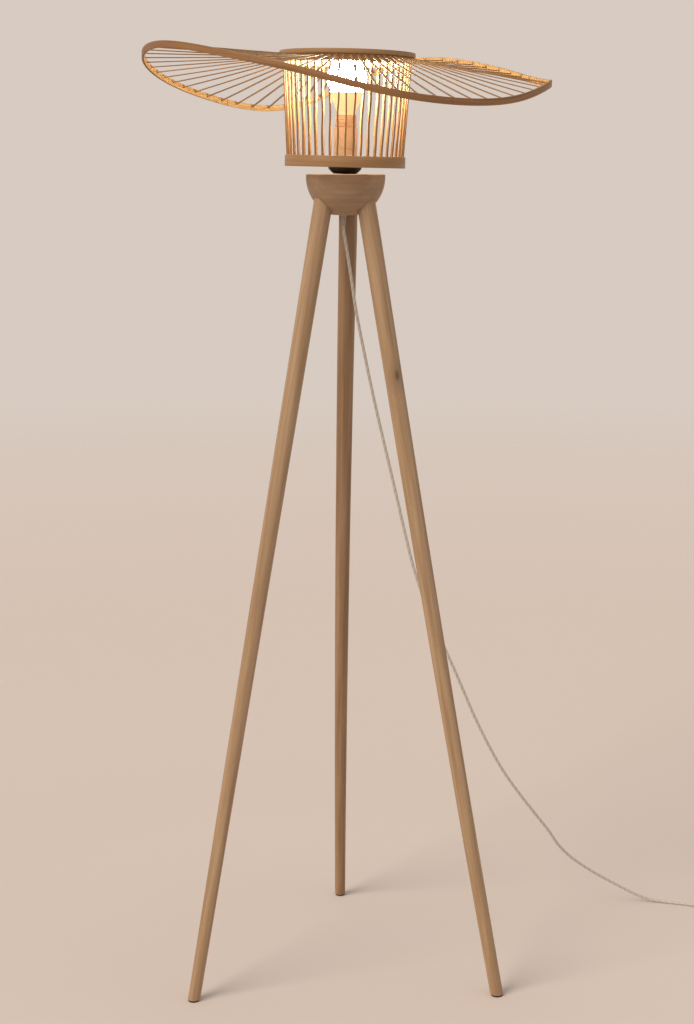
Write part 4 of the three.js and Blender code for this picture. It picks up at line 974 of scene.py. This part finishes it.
def makePlugBody(sides, sections):
    loops = []
    for y, wide, tall, power in sections:
        loop = []
        for c, s, _ in circle(sides, 0, 1):
            loop.append((copysign(abs(c) ** (2 / power), c) * wide / 2, y,
                         copysign(abs(s) ** (2 / power), s) * tall / 2))
        loops.append(loop)
    addPiece("plug.body", Stock().loft(loops), plugPlace, "stand", "white", 40, "plug_body")


def makePin(name, node, side, radius, root, tip, aside):
    profile = [(radius, root), (radius, tip - 1.7), (radius - 0.25, tip - 0.7), (radius - 0.9, tip - 0.1),
               (0.3, tip)]
    place = plugPlace @ Matrix.Translation((side * aside, 0, 0)) @ alongY
    turnedPiece(name, profile, "stand", "zinc", node, 32, ring=False, soften=0, place=place)


for name, node, side, turn in (("switch.reliefIn", "switch_relief_in", 1, backward),
                               ("switch.reliefOut", "switch_relief_out", -1, alongY)):
    makeRelief(name, node, Matrix.Translation(switchEnd(side)) @ turn, reliefSpec["switchRoot"],
               switchSpec["relief"] - gap, 5)
makeRelief("plug.relief", "plug_relief", plugPlace @ alongY, reliefSpec["plugRoot"], plugSpec["relief"], 6)
makePlugBody(**plugBodySpec)
makePin("plug.pinLine", "plug_pin_line", 1, **pinSpec)
makePin("plug.pinNeutral", "plug_pin_neutral", -1, **pinSpec)
print("switch and plug are made")


# Solids that stay as they are, under better materials

kept = {"zinc": ["leg_bolt_back", "leg_bolt_left", "leg_bolt_right", "bulb_tip", "switch_screw"],
        "brass": ["screw_shell", "centre_contact", "terminal_line", "terminal_neutral"],
        "ceramic": ["contact_block"], "blackGlass": ["bulb_insulator"]}
for finish, nodes in kept.items():
    for node in nodes:
        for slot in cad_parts[node].material_slots:
            slot.material = finishes[finish]


# What each cord is

cordEnds = {
    "cordToSwitch": ("fitting", "loose", ["switch.base", "switch.cover", "switch.rocker", "switch.reliefIn",
                                          "switch_screw"]),
    "cordToPlug": ("plug", "coiled", ["switch.reliefOut", "plug.relief", "plug.body", "plug.pinLine",
                                      "plug.pinNeutral"]),
}
for name, (farEnd, lay, others) in cordEnds.items():
    piece, line, length = cords[name]
    path = [tuple(p * mm) for p in line]


# Floor, light and background

floorSpec = dict(first="d6c9c0", second="cfc0b5", fadeFrom=2.6, fadeTo=7.5, size=9, sides=96)
keyLight = dict(power=2.25, colour="fff3e6", soft=34, source=(-2.5, -2.1, 2.7))
fillLight = dict(power=0.15, colour="f4f2ff", soft=50, source=(2.8, -1.6, 1.8))
worldSpec = dict(lightTone="f6f1ec", strength=0.56, backTone="d8cbc1")


def makeFloor(first, second, fadeFrom, fadeTo, size, sides):
    def draw(b):
        return {"Base Color": b.blend(b.noise(b.here(), 1.3) * 0.12, first, second)}

    stock = Stock()
    stock.points = stock.grain = circle(sides, 0, size / mm)
    stock.tint, stock.faces = [0.5] * sides, [tuple(range(sides))]
    piece = linked("floor", makeMesh("floor", stock, Matrix()))
    material = makeFinish("paleFloor", {"Roughness": 0.8, "Specular IOR Level": 0.2}, draw)
    board, nodes = Board(material.node_tree), material.node_tree.nodes
    reach = board.add("VectorMath", {"operation": "LENGTH"}, [board.stretch(board.here(), (1, 1, 0))], out=1)
    fade = board.clamped(reach, fadeFrom, fadeTo)
    solid, clear = Wire(board, nodes["Principled BSDF"].outputs[0]), board.add("BsdfTransparent")
    board.show(board.add("MixShader", None, {0: fade, 1: solid, 2: clear}), nodes["Material Output"])
    piece.data.materials.append(material)


def softSun(name, power, colour, soft, source):
    data = bpy.data.lights.new(name, "SUN")
    data.energy, data.angle, data.color = power, radians(soft), tone(colour)[:3]
    linked(name, data).rotation_euler = (-Vector(source)).to_track_quat("-Z", "Y").to_euler()


def makeWorld(lightTone, strength, backTone):
    world = bpy.data.worlds.new("studio")
    scene.world = world
    world.use_nodes = True
    board = Board(world.node_tree)
    path = [board.add("LightPath", out=k) for k in (0, 3, 6)]   # camera, glossy, transmission
    seen = board.clamped(path[0] + path[1] + path[2])
    light = board.add("Background", None, [lightTone, strength])
    back = board.add("Background", None, [backTone, 1])
    shader = board.add("MixShader", None, {0: seen, 1: light, 2: back})
    board.show(shader, world.node_tree.nodes["World Output"])


makeFloor(**floorSpec)
softSun("keyLight", **keyLight)
softSun("fillLight", **fillLight)
makeWorld(**worldSpec)
scene.view_settings.view_transform = "Standard"
print("floor and light are set")
